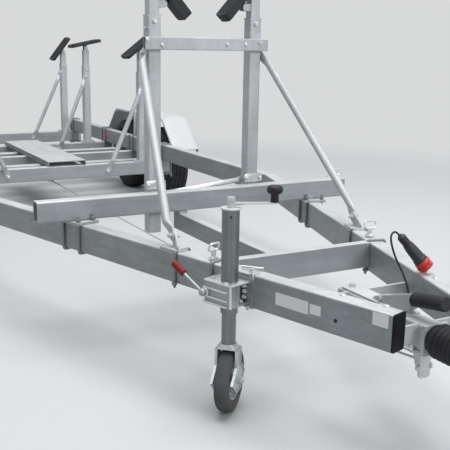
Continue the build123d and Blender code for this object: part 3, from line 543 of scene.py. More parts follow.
def u_bolt(half, low, high, r=6.0, nuts_up=True):
    """A U-shaped bolt in X and Z, its nuts at the open end."""
    shell = Shell()
    base, tip = (low, high) if nuts_up else (high, low)
    corners = ((-half, 0, tip), (-half, 0, base), (half, 0, base), (half, 0, tip))
    shell.add(bar(bent(corners, r * 2.2), r))
    way = 1 if nuts_up else -1
    for x in (-half, half):
        shell.add(bolt(19, 12), aim((x, 0, tip - way * 20), (0, 0, way), 15))
    return shell.points, shell.faces


# Round bars pressed flat at their ends


def stay_section(half_w, half_t, mid, z, power):
    ring = []
    for i in range(28):
        a = 2 * math.pi * i / 28
        c, s = math.cos(a), math.sin(a)
        x = half_w * math.copysign(abs(c) ** (2 / power), c)
        y = mid + half_t * math.copysign(abs(s) ** (2 / power), s)
        ring.append((x, y, z))
    return ring


def stay_bar(low, high, away, share=1.0):
    """A round bar pressed flat round the bolt at each end, share its size against the stays'."""
    start, run = Vector(low), Vector(high) - Vector(low)
    along = run.normalized()
    out = (Vector(away) - along * along.dot(Vector(away))).normalized()
    turn = Matrix((out.cross(along), out, along)).transposed().to_4x4()
    eye_r = 19.0
    # half width, half thickness, middle, height and squareness of the sections from the eye up
    ends = [(math.sqrt(eye_r ** 2 - z * z) + 0.4, 4.0, 4.0, z, 5.0) for z in (-18.8, -16, -11, -5, 1)]
    ends += [(19.5, 4.0, 4.0, 20, 5.0), (20.5, 5.5, 5.5, 28, 3.6), (20.0, 9.0, 10.0, 38, 2.8)]
    ends += [(18.5, 14.0, 15.5, 50, 2.2), (17.0, 17.0, 19.0, 62, 2.0)]
    ends = [(w * share, t * share, mid * share, z * share, power) for w, t, mid, z, power in ends]
    rings = [stay_section(*end) for end in ends]
    rings += [stay_section(w, t, mid, run.length - z, power) for w, t, mid, z, power in reversed(ends)]
    return Shell().add(skin(rings), shift(*start) @ turn), out, along


# Bolts, U-bolts and plates on the frame

MEMBER_TOP = FRAME_TOP - BEAM_H
POST_Y = POST_BEAM_Y + POST_BEAM_W + POST_W / 2
BEAM_SIDE = BEAM_W / 2


def drawbar_bolts():
    shell = Shell()
    for x, y in ((-190, 215), (-135, 72), (212, 231), (232, 297)):
        shell.add(button(), shift(x, y, FRAME_TOP))
    # bolts through the left drawbar that hold the overrun housing's hangers
    for y in (35.0, 385.0):
        for z in (-96.0, -62.0):
            spot = on_beam(1, y) @ Vector((BEAM_SIDE, 0, z))
            shell.add(bolt(17, 11), aim(spot, (math.cos(V_ANGLE), -math.sin(V_ANGLE), 0)))
    return shell


def drawbar_straps():
    shell = Shell()
    mid_y = POST_BEAM_Y + POST_BEAM_W / 2
    for sign in (-1, 1):
        # the crossbeam is held by two U-bolts on each drawbar
        for along in (-57.0, 57.0):
            where = on_beam(sign, mid_y) @ shift(0, along, 0)
            shell.add(u_bolt(BEAM_SIDE + 6.5, -BEAM_H - 6, SADDLE_T + 26), where)
        # straps over the drawbar at the stay's foot and the front crossbar
        for y in (912.0, 726.0):
            shell.add(u_bolt(BEAM_SIDE + 5.5, -BEAM_H - 14, 5.0, 5.5, nuts_up=False), on_beam(sign, y))
    return shell


def eye_loop(long, high):
    """A closed lashing ring of round bar, standing in X and Z."""
    half = long / 2
    corners = ((-half, 0, 0), (half, 0, 0), (half, 0, high), (-half, 0, high))
    return bar(bent(corners, high * 0.42, 6, loop=True), 4.0, 10, loop=True)


def lashing_rings():
    """Rings on upright tabs on the drawbars and at the crossbeam's left end."""
    shell = Shell()
    for sign, y, lean in ((-1, 752.0, 22.0), (1, 793.0, -28.0)):
        where = on_beam(sign, y)
        shell.add(slab(oblong(-16, 16, -13, 13, 4), 5, 11, 0.8), where)
        shell.add(slab(oblong(-11, 11, -3, 3), 8, 40, 0.8), where)
        shell.add(eye_loop(50, 30), where @ shift(sign * 4, 0, 38) @ turned(lean, "X"))
    end = shift(756, 1585, 610) @ turned(-10, "Z")
    shell.add(slab(oblong(-20, 20, -12, 12, 4), 0, 5, 0.8), end)
    shell.add(eye_loop(58, 34), end @ shift(26, 12, 5) @ turned(-32, "X"))
    return shell


def post_fixings():
    """Bolts and clamp plates of the bow posts, and bolts along the bar between them."""
    shell = Shell()
    front = (0, -1, 0)
    post_front = POST_Y - POST_W / 2
    plate_front = post_front - 11
    bar_front = POST_BEAM_Y + POST_BEAM_W - 25
    for sign in (-1, 1):
        x = POST_MID_X + sign * POST_HALF_GAP
        for offset in (-37.0, 37.0):
            shell.add(bolt(17, 10), aim((x + offset, plate_front, 636), front, 12))
        shell.add(slab(oblong(-48, 48, -18, 21, 4), -3, 0, 0.8), shift(x, plate_front, 637) @ turned(90, "X"))
        shell.add(bolt(17, 10), aim((x, post_front, 1362), front, 8))
        shell.add(bolt(17, 10), aim((x + sign * POST_W / 2, POST_Y, 1330), (sign, 0, 0), 8))
    for x, z in ((-278, 1282), (-207, 1260), (117, 1268), (217, 1268), (293, 1276)):
        shell.add(bolt(13, 8.5), aim((x, bar_front, z), front, x))
    return shell


def post_tie():
    """Thin bar between the two posts, behind the crossbeam's top."""
    low, high = Vector((-201.0, 1612.0, 588.0)), Vector((249.0, 1612.0, 632.0))
    shell, out, _ = stay_bar(low, high, (0, -1, 0), 0.72)
    for spot in (low, high):
        shell.add(bolt(15, 9), aim(spot + out * 6, out, 10))
    return shell


def prop_fixings():
    """Bolts of the side props, their stays and their pads."""
    shell = Shell()
    front = (0, -1, 0)
    for _, y, x, top_z, low_x, high_x in PROP_ROWS:
        for sign in (-1, 1):
            for sx, z in ((low_x, PROP_STAY_LOW), (high_x, PROP_STAY_HIGH)):
                shell.add(bolt(19, 12), aim((sign * sx, y - 8, z), front, 10))
            post_front = y + MEMBER_W / 2 - POST_W / 2
            shell.add(bolt(17, 10), aim((sign * x, post_front, 1034), front, 20))
            for way in (-1, 1):
                spot = (sign * x, y + MEMBER_W / 2 + way * 21, top_z + PAD_PIVOT_UP)
                shell.add(bolt(15, 9), aim(spot, (0, way, 0), 10))
                spot = (sign * x + way * 52, y + MEMBER_W / 2, MEMBER_TOP + 8)
                shell.add(bolt(17, 11), aim(spot, (0, 0, 1), 10))
    return shell


def rail_fixings():
    """U-bolts that hold the cross members under the side rails."""
    shell = Shell()
    for y in MEMBER_ROWS:
        for sign in (-1, 1):
            x = sign * (RAIL_OUT - BEAM_SIDE)
            for edge in (-9.0, MEMBER_W + 9.0):
                where = shift(x, y + edge, FRAME_TOP)
                shell.add(u_bolt(BEAM_SIDE + 5.5, -BEAM_H - MEMBER_H - 30, 5.0, 5.0, nuts_up=False), where)
            below = shift(x, y + MEMBER_W / 2, FRAME_TOP - BEAM_H - MEMBER_H)
            shell.add(slab(oblong(-BEAM_SIDE - 16, BEAM_SIDE + 12, -48, 48, 6), -8, 0, 0.8), below)
    return shell


drawbar_bolts().piece("drawbar_bolts", "frame", "zinc_steel", BRIGHT)
drawbar_straps().piece("drawbar_straps", "frame", "zinc_steel", DULL)
lashing_rings().piece("lashing_rings", "frame", "zinc_steel", BRIGHT)
post_fixings().piece("post_fixings", "frame", "zinc_steel", BRIGHT)
prop_fixings().piece("prop_fixings", "frame", "zinc_steel", BRIGHT)
rail_fixings().piece("rail_fixings", "frame", "zinc_steel", DULL)
post_tie().piece("post_tie", "frame", "galvanised_steel", BRIGHT)


# Round stays to the bow posts

STAY_FOOT_Y = 965.0
for side, sign in SIDES:
    low = Vector((sign * 428.0, STAY_FOOT_Y, FRAME_TOP + 50.0))
    high = Vector((POST_MID_X + sign * (POST_HALF_GAP + POST_W / 2 + 8), 1606.0, 1225.0))
    shell, out, along = stay_bar(low, high, (sign, 0, 0))
    for spot in (low, high):
        shell.add(bolt(19, 12, 6), aim(spot + out * 8, out, 10))
    spacer = lathe(((0, 0), (11, 0), (11, 9), (0, 9)), 20)
    shell.add(spacer, aim(high - Vector((sign * 8.5, 0, 0)), (sign, 0, 0)))
    shell.add(bolt(19, 12, 8), aim(low - out * 8, -out, 0))
    # upright lug with a round top, on a plate on the drawbar
    lug = [(-19, -62), (19, -62)]
    lug += [(19 * math.cos(math.radians(a)), 19 * math.sin(math.radians(a))) for a in range(0, 181, 20)]
    turn = Matrix((out.cross(along), along, out)).transposed().to_4x4()
    if turn.determinant() < 0:
        turn = Matrix((-out.cross(along), along, out)).transposed().to_4x4()
    shell.add(slab(lug, -8, 0, 0.8), shift(*low) @ turn)
    shell.add(slab(oblong(-30, 30, -62, 44, 7), 0, 8, 1.2), on_beam(sign, STAY_FOOT_Y))
    stay = shell.piece("bow_stay_bar_" + side, "frame", "galvanised_steel", STAY_ZINC)
    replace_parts(stay, "bow_stay_" + side)


# Jockey wheel's clamp, tube and crank

JACK_FACE_Y = JACK_Y + JACK_OFF * math.sin(V_ANGLE)
JACK_X = -(V_FRONT_X + JACK_FACE_Y * math.tan(V_ANGLE)) - JACK_OFF * math.cos(V_ANGLE)
JACK = shift(JACK_X, JACK_Y, 0) @ Matrix.Rotation(V_ANGLE, 4, "Z")
CASTOR = shift(JACK_X, JACK_Y, 0) @ turned(CASTOR_TURN, "Z")
CRANK_END = (-266.0, 512.0)
CRANK_HALF_W = 9.4
CRANK_LOW = 750.6
CRANK_HIGH = 756.4
LID_LOW = 733.0
LID_TOP = 738.0
HEAD_LOW = 760.0


def place_shell(shell, where):
    return Shell().add((shell.points, shell.faces), where)


def clamp_fittings():
    """Bolts and plates on the folded clamp box."""
    shell = Shell()
    front = (0, -1, 0)
    for x, z in ((40, 466), (42, 446), (40, 426), (24, 412)):
        shell.add(bolt(13, 8.5, 5), aim((x, -28, z), front, z))
    shell.add(bolt(13, 8.5, 3), aim((44, -44, 388), front, 20))
    # top plate with a rolled front lip, and ledges down the outer side
    shell.add(slab(oblong(-48, 54, -48, 82, 6), 480, 484, 1.2))
    shell.add(bar(((-46, -46, 480), (52, -46, 480)), 4.0))
    for z, proud in ((404, -52), (424, -50), (455, -53)):
        shell.add(slab(oblong(proud, -44, -34, 78, 2), z, z + 6, 1.0))
    # boss and screws beside the tube
    shell.add(lathe(((0, 0), (17, 0), (17, 6), (14, 9), (0, 9)), 24), aim((-46, 68, 441), (-1, 0, 0)))
    shell.add(bolt(22, 15), aim((-53, 68, 441), (-1, 0, 0), 10))
    shell.add(bolt(13, 8.5), aim((-38, -20, 484), (0, 0, 1), 10))
    shell.add(bolt(13, 8.5), aim((-20, 60, 484), (0, 0, 1), 40))
    shell.add(bolt(13, 8.5), aim((40, 66, 484), (0, 0, 1), 20))
    # rounded outer edge beside the recess
    shell.add(bar(((-40, -44, 402), (-40, -44, 478)), 5.0))
    return shell


def clamp_tee():
    """Clamping screw with a bar handle on top of the drawbar."""
    shell = Shell()
    foot = lathe(((0, -1), (13, -1), (13, 3), (7, 4), (7, 10), (0, 10)), 20)
    shell.add(foot, shift(-313, 566, FRAME_TOP))
    shell.add(bar(((-330, 612, 515), (-276, 553, 515)), 4.2))
    # folded bracket round the drawbar's outer edge, ahead of the clamp
    bracket = on_beam(-1, 541.0)
    upright = Matrix(((0, 0, -1, 0), (1, 0, 0, 0), (0, 1, 0, 0), (0, 0, 0, 1)))
    shell.add(slab(oblong(-9, 9, -112, 3, 2), 0, 5, 1.0), bracket @ shift(-BEAM_SIDE, 0, 0) @ upright)
    shell.add(slab(oblong(-BEAM_SIDE - 4, 4, -9, 9, 3), 0, 5, 1.0), bracket)
    return shell


def jack_fittings():
    """Washer on the lid, the head's nut and the crank's collar."""
    shell = Shell()
    low = LID_TOP
    shell.add(lathe(((0, low), (14, low), (14, low + 3), (0, low + 3)), 24))
    low = HEAD_LOW
    shell.add(lathe(((0, low), (14.5, low), (15, low + 2), (15, low + 12), (13, low + 15), (0, low + 15)), 6))
    shell.add(lathe(((0, LID_TOP + 3), (13, LID_TOP + 3), (13, HEAD_LOW - 1), (0, HEAD_LOW - 1)), 24))
    return shell


def crank_arm():
    """Bright plated arm from the head to the grip."""
    run_x, run_y = CRANK_END[0] - JACK_X, CRANK_END[1] - JACK_Y
    outline = oblong(2, math.hypot(run_x, run_y) + CRANK_HALF_W, -CRANK_HALF_W, CRANK_HALF_W)
    where = shift(JACK_X, JACK_Y, 0) @ Matrix.Rotation(math.atan2(run_y, run_x), 4, "Z")
    return Shell().add(slab(outline, CRANK_LOW, CRANK_HIGH, 0.4), where)


place_shell(clamp_fittings(), JACK).piece("clamp_fittings", "frame", "zinc_steel", BRIGHT)
# painted shade: a dark sheet at the back of the recess behind the clamp's bolts stands in for the shadow
# there
recess_shade_sheet = slab(oblong(4, 47, 407, 473, 3), -0.3, 1.2, 0.4)
where = JACK @ shift(0, -28, 0) @ turned(90, "X")
Shell().add(recess_shade_sheet, where).piece("clamp_recess_painted_shade", "frame", "black_rubber", BLACK_RUBBER)
clamp_tee().piece("clamp_tee", "frame", "zinc_steel", BRIGHT)
place_shell(jack_fittings(), JACK).piece("jack_fittings", "frame", "zinc_steel", PLATED)
crank_arm().piece("crank_arm", "frame", "zinc_steel", BRIGHT)
low, top = LID_LOW, LID_TOP + 1.5
lid = lathe(((0, low), (33.5, low), (34.5, low + 1.5), (34.5, LID_TOP), (33, top), (0, top)), 40)
Shell().add(lid, JACK).piece("jack_lid", "frame", "white_plastic", WHITE)
pin = lathe(((0, 0), (3.6, 0), (3.6, 4), (2.8, 5), (0, 5)), 14)
where = JACK @ aim((-20.5, -21.5, 712), (-0.7, -0.7, 0))
Shell().add(pin, where).piece("jack_pin", "frame", "black_rubber", BLACK_RUBBER)

fork_nuts = Shell()
for way in (-1, 1):
    fork_nuts.add(bolt(24, 15, 5), aim((way * 37, 20, 118), (way, 0, 0), 12))
place_shell(fork_nuts, CASTOR).piece("fork_nuts", "jockey_castor", "zinc_steel", BRIGHT)


# Overrun coupling and handbrake

SHAFT_Z = 405.0


def coupling_fittings():
    """Bolts on the overrun housing and round it."""
    shell = Shell()
    up = (0, 0, 1)
    for y in (410.0, 128.0):
        shell.add(bolt(19, 12), aim((0, y, 454), up, 10))
    for x, y in ((-46, 46), (46, 46), (-46, 172), (46, 172)):
        shell.add(bolt(17, 11, 4), aim((x, y, 362), up, x))
    for way in (-1, 1):
        shell.add(bolt(13, 8), aim((way * 19, 236, 466), (way, 0, 0), 10))
        shell.add(bolt(17, 10, 4), aim((way * 22, 34, 300), (way, 0, 0), 10))
        shell.add(bolt(15, 9), aim((way * 38, 120, 405), (way, 0, 0), 25))
    return shell


def sleeve():
    """Ribbed rubber sleeve with rounded folds."""
    folds, folded, start, inner_r = 6, 118.0, -20, 26
    pitch = folded / folds
    profile = [(inner_r, -6), (46, -6), (48, start)]
    for i in range(folds):
        y = start - i * pitch
        for share, r in ((0.12, 49.5), (0.30, 54.0), (0.50, 56.0), (0.70, 54.0), (0.88, 49.5), (1.0, 47.5)):
            profile.append((r, y - pitch * share))
    profile += [(40, -142), (33, -150), (inner_r, -150), (inner_r, -6)]
    return Shell().add(lathe(profile, 56), shift(0, 0, SHAFT_Z) @ turned(-90, "X"))


coupling_fittings().piece("coupling_fittings", "frame", "zinc_steel", BRIGHT)
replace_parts(sleeve().piece("ribbed_sleeve", "frame", "black_rubber", BLACK_RUBBER), "bellows")


# Blank labels and a plugged hole on the right drawbar's outer face, and the reflectors


def on_outer_face(y0, y1, z0, z1):
    """A thin plate on the right drawbar's outer face."""
    points = []
    for out in (-0.2, 0.5):
        for y, z in ((y0, z0), (y1, z0), (y1, z1), (y0, z1)):
            x = -(V_FRONT_X + y * math.tan(V_ANGLE))
            points.append((x - out * math.cos(V_ANGLE), y - out * math.sin(V_ANGLE), z))
    faces = [(3, 2, 1, 0), (4, 5, 6, 7)] + [(i, (i + 1) % 4, (i + 1) % 4 + 4, i + 4) for i in range(4)]
    return points, faces


labels = Shell()
# near and far Y, low and high Z of each label
for row in ((298, 430, 427, 470), (250, 292, 433, 466), (13, 66, 460, 500)):
    labels.add(on_outer_face(*row))
labels.piece("drawbar_labels", "frame", "white_plastic", LABEL)
hole_y = 194
spot = (-(V_FRONT_X + hole_y * math.tan(V_ANGLE)), hole_y, 435)
outwards = (-math.cos(V_ANGLE), -math.sin(V_ANGLE), 0)
grommet = lathe(((0, -0.4), (6.5, -0.4), (6.5, 0.8), (4.5, 1.2), (3.5, 0.4), (0, 0.4)), 20)
Shell().add(grommet, aim(spot, outwards)).piece("drawbar_grommet", "frame", "black_rubber", BLACK_RUBBER)

disc = lathe(((0, -1), (25, -1), (26, 0), (26, 4), (22, 7), (0, 8)), 28)
where = aim((RAIL_OUT - BEAM_W, 5095, 436), (-1, 0, 0))
Shell().add(disc, where).piece("rail_reflector", "frame", "red_plastic", RED)
reflectors = Shell()
for sign in (-1, 1):
    for y in (2650.0, 5420.0):
        block = slab(oblong(-35, 35, -16, 16, 6), 0, 6, 1.5)
        reflectors.add(block, aim((sign * RAIL_OUT, y, 440), (sign, 0, 0), 90))
reflectors.piece("side_reflectors", "frame", "orange_plastic", AMBER)


# Mudguards: one rounded sheet over both wheels, with its stays to the side rail

GUARD_IN_X = 905.0
GUARD_OUT_X = 1130.0
GUARD_T = 4.0
GUARD_SKIRT = 52.0
GUARD_FRONT = 3833.0
GUARD_BACK = 5317.0
GUARD_LOW = 462.0
GUARD_TOP = 695.0
GUARD_SLOPE = 230.0
GUARD_ROUND = 26.0
GUARD_BEND = 150.0


def guard_section():
    """The sheet across the guard: X and depth below its top, down the outer side and back."""
    outer = [(GUARD_IN_X, 16.0), (GUARD_IN_X, 5.0), (GUARD_IN_X + 1.5, 1.5), (GUARD_IN_X + 5.0, 0.0)]
    outer += [(GUARD_IN_X + 80, 0.0), (GUARD_IN_X + 150, 0.0)]
    r = GUARD_ROUND
    for k in range(7):
        a = math.radians(15 * k)
        outer.append((GUARD_OUT_X - r + r * math.sin(a), r - r * math.cos(a)))
    outer.append((GUARD_OUT_X, GUARD_SKIRT))
    inner = []
    for k, (x, depth) in enumerate(outer):
        before, after = outer[max(k - 1, 0)], outer[min(k + 1, len(outer) - 1)]
        way = Vector((after[0] - before[0], after[1] - before[1])).normalized()
        inner.append((x - way.y * GUARD_T, depth + way.x * GUARD_T))
    return outer + inner[::-1]


def guard(sign):
    shell = Shell()
    corners = (
        (0, GUARD_FRONT, GUARD_LOW),
        (0, GUARD_FRONT + GUARD_SLOPE, GUARD_TOP),
        (0, GUARD_BACK - GUARD_SLOPE, GUARD_TOP),
        (0, GUARD_BACK, GUARD_LOW),
    )
    path = bent(corners, GUARD_BEND, 10)
    section = guard_section()
    rings = []
    for i, spot in enumerate(path):
        way = (path[min(i + 1, len(path) - 1)] - path[max(i - 1, 0)]).normalized()
        down = Vector((0, way.z, -way.y))
        ring = [spot + down * depth + Vector((sign * x, 0, 0)) for x, depth in section]
        rings.append(ring)
    shell.add(skin(rings))

    def strip(out_x, y, low, high):
        """A flat bar from the rail's outer face to out_x."""
        ends = sorted((sign * RAIL_OUT, sign * out_x))
        shell.add(slab(oblong(*ends, -15, 15), low, high, 0.8), shift(0, y, 0))

    for y in (GUARD_FRONT + 23, GUARD_BACK - 23):
        strip(GUARD_OUT_X - 8, y, GUARD_LOW + 2, GUARD_LOW + 9)
        for x in (918.0, 1090.0):
            shell.add(bolt(13, 8.5), aim((sign * x, y, GUARD_LOW + 9), (0, 0, 1), x))
    mid = (GUARD_FRONT + GUARD_BACK) / 2
    strip(GUARD_OUT_X - 8, mid, GUARD_TOP - 10, GUARD_TOP - GUARD_T)
    strip(RAIL_OUT + 8, mid, FRAME_TOP - 60, GUARD_TOP - GUARD_T)
    return shell


for side, sign in SIDES:
    sheet = guard(sign).piece("guard_sheet_" + side, "frame", "white_plastic", WHITE, 40.0)
    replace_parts(sheet, "mudguard_" + side)


# Wheels: treaded tyres, wheel nuts and valves


def arc(p, q, r, count):
    """Points on the circle through three points, without the first."""
    ax, ay, bx, by, cx, cy = *p, *q, *r
    d = 2 * (ax * (by - cy) + bx * (cy - ay) + cx * (ay - by))
    sa, sb, sc = ax * ax + ay * ay, bx * bx + by * by, cx * cx + cy * cy
    ux = (sa * (by - cy) + sb * (cy - ay) + sc * (ay - by)) / d
    uy = (sa * (cx - bx) + sb * (ax - cx) + sc * (bx - ax)) / d
    radius = math.hypot(ax - ux, ay - uy)
    angles = [math.atan2(y - uy, x - ux) for x, y in (p, q, r)]
    for i in (1, 2):
        while angles[i] - angles[i - 1] > math.pi:
            angles[i] -= 2 * math.pi
        while angles[i] - angles[i - 1] < -math.pi:
            angles[i] += 2 * math.pi
    span = angles[2] - angles[0]
    spots = []
    for k in range(1, count + 1):
        a = angles[0] + span * k / count
        spots.append((ux + radius * math.cos(a), uy + radius * math.sin(a)))
    return spots


def tyre_profile():
    """Half the tyre's section, from the bead to the middle groove: radius, offset, kind."""
    rows = [(178.0, 74.5, ""), (186.0, 79.5, "")]
    rows += [(r, w, "") for r, w in arc((186.0, 79.5), (240.0, 92.5), (282.0, 76.5), 10)]
    rows += [(r, w, "block") for r, w in arc((282.0, 76.5), (295.0, 68.5), (300.0, 56.5), 4)]
    rows += [(300.0, 38.0, "block"), (300.0, 37.0, ""), (292.0, 35.5, "")]
    rows += [(292.0, 31.0, ""), (300.0, 29.5, ""), (300.0, 22.0, "sipe")]
    rows += [(300.0, 13.0, ""), (292.5, 11.5, ""), (292.5, 6.0, ""), (300.0, 4.5, "")]
    return rows


TREAD_STEPS = 180
NUT_CIRCLE_R = 56.0
HUB_FACE = 38.0


def tyre_mesh():
    half = tyre_profile()
    section = half + [(r, -w, kind) for r, w, kind in reversed(half)]
    rings = []
    for i in range(TREAD_STEPS):
        a = 2 * math.pi * i / TREAD_STEPS
        ring = []
        for r, w, kind in section:
            if kind == "block" and i % 5 == 0:
                r -= 5.0
            if kind == "sipe" and (i + 2) % 5 == 0:
                r -= 3.0
            ring.append((r * math.cos(a), r * math.sin(a), w))
        rings.append(ring)
    return skin(rings, loop=True)


def wheel_frame(sign, y):
    return shift(sign * WHEEL_MID_X, y, TYRE_R) @ turned(sign * 90, "Y")


def wheel_fittings():
    """Five nuts round the hub and the valve."""
    shell = Shell()
    for k in range(5):
        a = math.radians(72 * k + 18)
        spot = (NUT_CIRCLE_R * math.cos(a), NUT_CIRCLE_R * math.sin(a), HUB_FACE)
        shell.add(bolt(19, 11, 3), aim(spot, (0, 0, 1), 72 * k))
    shell.add(bar(((150, 0, 8), (146, 0, 30), (143, 0, 52)), 4.0))
    return shell


TREAD = tyre_mesh()
for side, sign in SIDES:
    for row, y in WHEEL_ROWS:
        body = "wheel_" + side + "_" + row
        tread = Shell().add(TREAD, wheel_frame(sign, y))
        piece = tread.piece("treaded_tyre_" + side + "_" + row, body, "tyre_rubber", TYRE, 28.0)
        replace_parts(piece, "tyre_" + side + "_" + row)
        fittings = place_shell(wheel_fittings(), wheel_frame(sign, y))
        fittings.piece("wheel_nuts_" + side + "_" + row, body, "zinc_steel", BRIGHT)


# Pads: ribs moulded along the face that meets the hull


def pad_ribs(length, width, top):
    shell = Shell()
    count = int(width // 18)
    for k in range(count):
        y = (k - (count - 1) / 2) * width * 0.88 / count
        reach = length / 2 - 12 - 8 * (abs(k - (count - 1) / 2) > (count - 2) / 2)
        path = ((-reach, y, top - 3), (-reach + 6, y, top), (reach - 6, y, top), (reach, y, top - 3))
        shell.add(bar(bent(path, 6), 2.8, 8))
    return shell


for row, y, x, top_z, *_ in PROP_ROWS:
    for side, sign in SIDES:
        label = side + "_" + row
        pivot = shift(sign * x, y + MEMBER_W / 2, top_z + PAD_PIVOT_UP)
        where = pivot @ turned(-sign * PAD_TILTS[label], "Y")
        ribs = place_shell(pad_ribs(270.0, 150.0, 48.0), where)
        ribs.piece("pad_ribs_" + label, "prop_pad_" + label, "pad_rubber", PAD)
BOW_PIVOT_IN = 49.0
BOW_PIVOT_Z = 1437.0
for side, sign in SIDES:
    pivot_x = POST_MID_X + sign * POST_HALF_GAP - sign * BOW_PIVOT_IN
    where = shift(pivot_x, POST_Y, BOW_PIVOT_Z) @ turned(-sign * BOW_PAD_TILT, "Y")
    ribs = place_shell(pad_ribs(230.0, 90.0, 70.0), where)
    ribs.piece("pad_ribs_bow_" + side, "bow_pad_" + side, "pad_rubber", PAD)


# Lamps: lens blocks on the rear faces


LAMP_X = 620.0
LAMP_BACK = MEMBER_ROWS[-1] + MEMBER_W + 42.0
LAMP_Z = 336.0
LENSES = (
    ("stop", 8.0, 92.0, "lamp_red", LAMP),
    ("turn", -92.0, 2.0, "orange_plastic", AMBER),
)
for name, x0, x1, slot, finish in LENSES:
    lens = Shell()
    for sign in (-1, 1):
        outline = oblong(*sorted((sign * x0, sign * x1)), -38, 38, 6)
        lens.add(slab(outline, -2, 5, 2.0), shift(sign * LAMP_X, LAMP_BACK, LAMP_Z) @ turned(-90, "X"))
    lens.piece("lamp_lens_" + name, "frame", slot, finish)


# Plug on its cable

CABLE_ROUTE = (
    (60.0, 236.0, 420.0),
    (94.0, 236.0, 420.0),
    (120.0, 250.0, 452.0),
    (111.0, 276.0, 517.0),
    (92.0, 308.0, 578.0),
    (86.5, 326.0, 628.0),
    (95.0, 335.0, 648.0),
    (112.0, 341.0, 654.5),
    (130.9, 343.6, 647.5),
    (151.6, 330.3, 619.9),
)
CABLE_R = 3.5
PLUG_FOOT = Vector((222.0, 285.0, 526.0))
PLUG_TIP = Vector((136.5, 340.0, 640.0))
PLUG_LEN = (PLUG_TIP - PLUG_FOOT).length

curve = bpy.data.curves.new("plug_lead", "CURVE")
curve.dimensions = "3D"
curve.bevel_depth = CABLE_R * MM
curve.bevel_resolution = 5
curve.use_fill_caps = True
curve.resolution_u = 16
spline = curve.splines.new("NURBS")
spline.points.add(len(CABLE_ROUTE) - 1)
for point, spot in zip(spline.points, CABLE_ROUTE):
    point.co = (*place(*spot), 1.0)
spline.order_u = 3
spline.use_endpoint_u = True
lead = bpy.data.objects.new("plug_lead", curve)
bpy.context.scene.collection.objects.link(lead)
curve.materials.append(BLACK_RUBBER)
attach(lead, "frame")
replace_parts(lead, "plug_cable")


def ring_bumps(low, high, r, depth, count):
    """Profile points of raised rings between two heights."""
    rows = []
    step = (high - low) / count
    for k in range(count):
        z = low + k * step
        rows += [(r - depth, z), (r - depth, z + step * 0.25), (r, z + step * 0.4), (r, z + step * 0.9)]
    return rows


ON_PLUG = aim(PLUG_FOOT, PLUG_TIP - PLUG_FOOT)
handle = [(0, 33), (24, 33), (24.5, 35), (24.5, 45), (22.5, 47), (22.0, 50)]
handle += [(21.5, 62), (20.6, 80), (19.0, 98), (17.5, 110)]
handle += ring_bumps(112, PLUG_LEN - 8, 15.5, 2.2, 4)
handle += [(10.5, PLUG_LEN - 4), (8.0, PLUG_LEN), (0, PLUG_LEN)]
body = Shell().add(lathe(handle, 40), ON_PLUG)
for k in range(10):
    a = math.radians(36 * k)
    rib = []
    for z in (50, 70, 94):
        r = 24.3 - z * 0.062
        rib.append((r * math.cos(a), r * math.sin(a), z))
    body.add(bar(rib, 1.6, 8), ON_PLUG)
plug_handle = body.piece("plug_handle", "frame", "black_plastic", PLUG_GREY)
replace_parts(plug_handle, "plug_body")

rows = [(0, 0), (24, 0), (27, 2.5), (27.5, 5), (27.5, 11), (25.2, 13)]
rows += [(25.2, 20), (27.5, 22), (27.5, 31), (25, 34), (0, 34)]
cap = Shell().add(lathe(rows, 44), ON_PLUG)
for k in range(3):
    a = math.radians(120 * k + 40)
    spot = ON_PLUG @ Vector((26.5 * math.cos(a), 26.5 * math.sin(a), 16))
    way = ON_PLUG.to_3x3() @ Vector((math.cos(a), math.sin(a), 0))
    cap.add(lathe(((0, -3), (5, -3), (5, 1.5), (4, 2.5), (0, 2.5)), 14), aim(spot, way))
plug_ring = cap.piece("plug_ring", "frame", "red_plastic", RED)
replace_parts(plug_ring, "plug_cap")

# tapered strain relief where the cable leaves the housing
rows = [(0, 0), (9.0, 0), (9.0, 3), (7.4, 6), (6.8, 12), (5.8, 20), (4.6, 27), (3.9, 30), (0, 30)]
relief = Shell().add(lathe(rows, 24), aim((58, 236, 420), (1, 0, 0)))
relief.piece("cable_relief", "frame", "black_rubber", BLACK_RUBBER)


# Floor, backdrop and light

BACKDROP = (0.69, 0.695, 0.70)
# The floor's colour where it is seen, and the darker one that it throws on the trailer
FLOOR_COLOUR = (0.57, 0.575, 0.58)
FLOOR_BOUNCE = (0.34, 0.34, 0.34)
FLOOR_HALF = 60.0
# Metres from the origin between which the floor passes into the backdrop
FADE_START = 3.2
FADE_END = 6.5
AMBIENT_COLOUR = (0.90, 0.95, 1.0, 1.0)
AMBIENT_STRENGTH = 0.38
SKY_WATTS = 850.0
FRONT_WATTS = 260.0


def seen_rays(tree):
    """1 for camera, glossy and transmission rays, else 0."""
    path = tree.nodes.new("ShaderNodeLightPath")
    total = path.outputs["Is Camera Ray"]
    for name in ("Is Glossy Ray", "Is Transmission Ray"):
        step = tree.nodes.new("ShaderNodeMath")
        step.operation = "MAXIMUM"
        tree.links.new(total, step.inputs[0])
        tree.links.new(path.outputs[name], step.inputs[1])
        total = step.outputs[0]
    return total


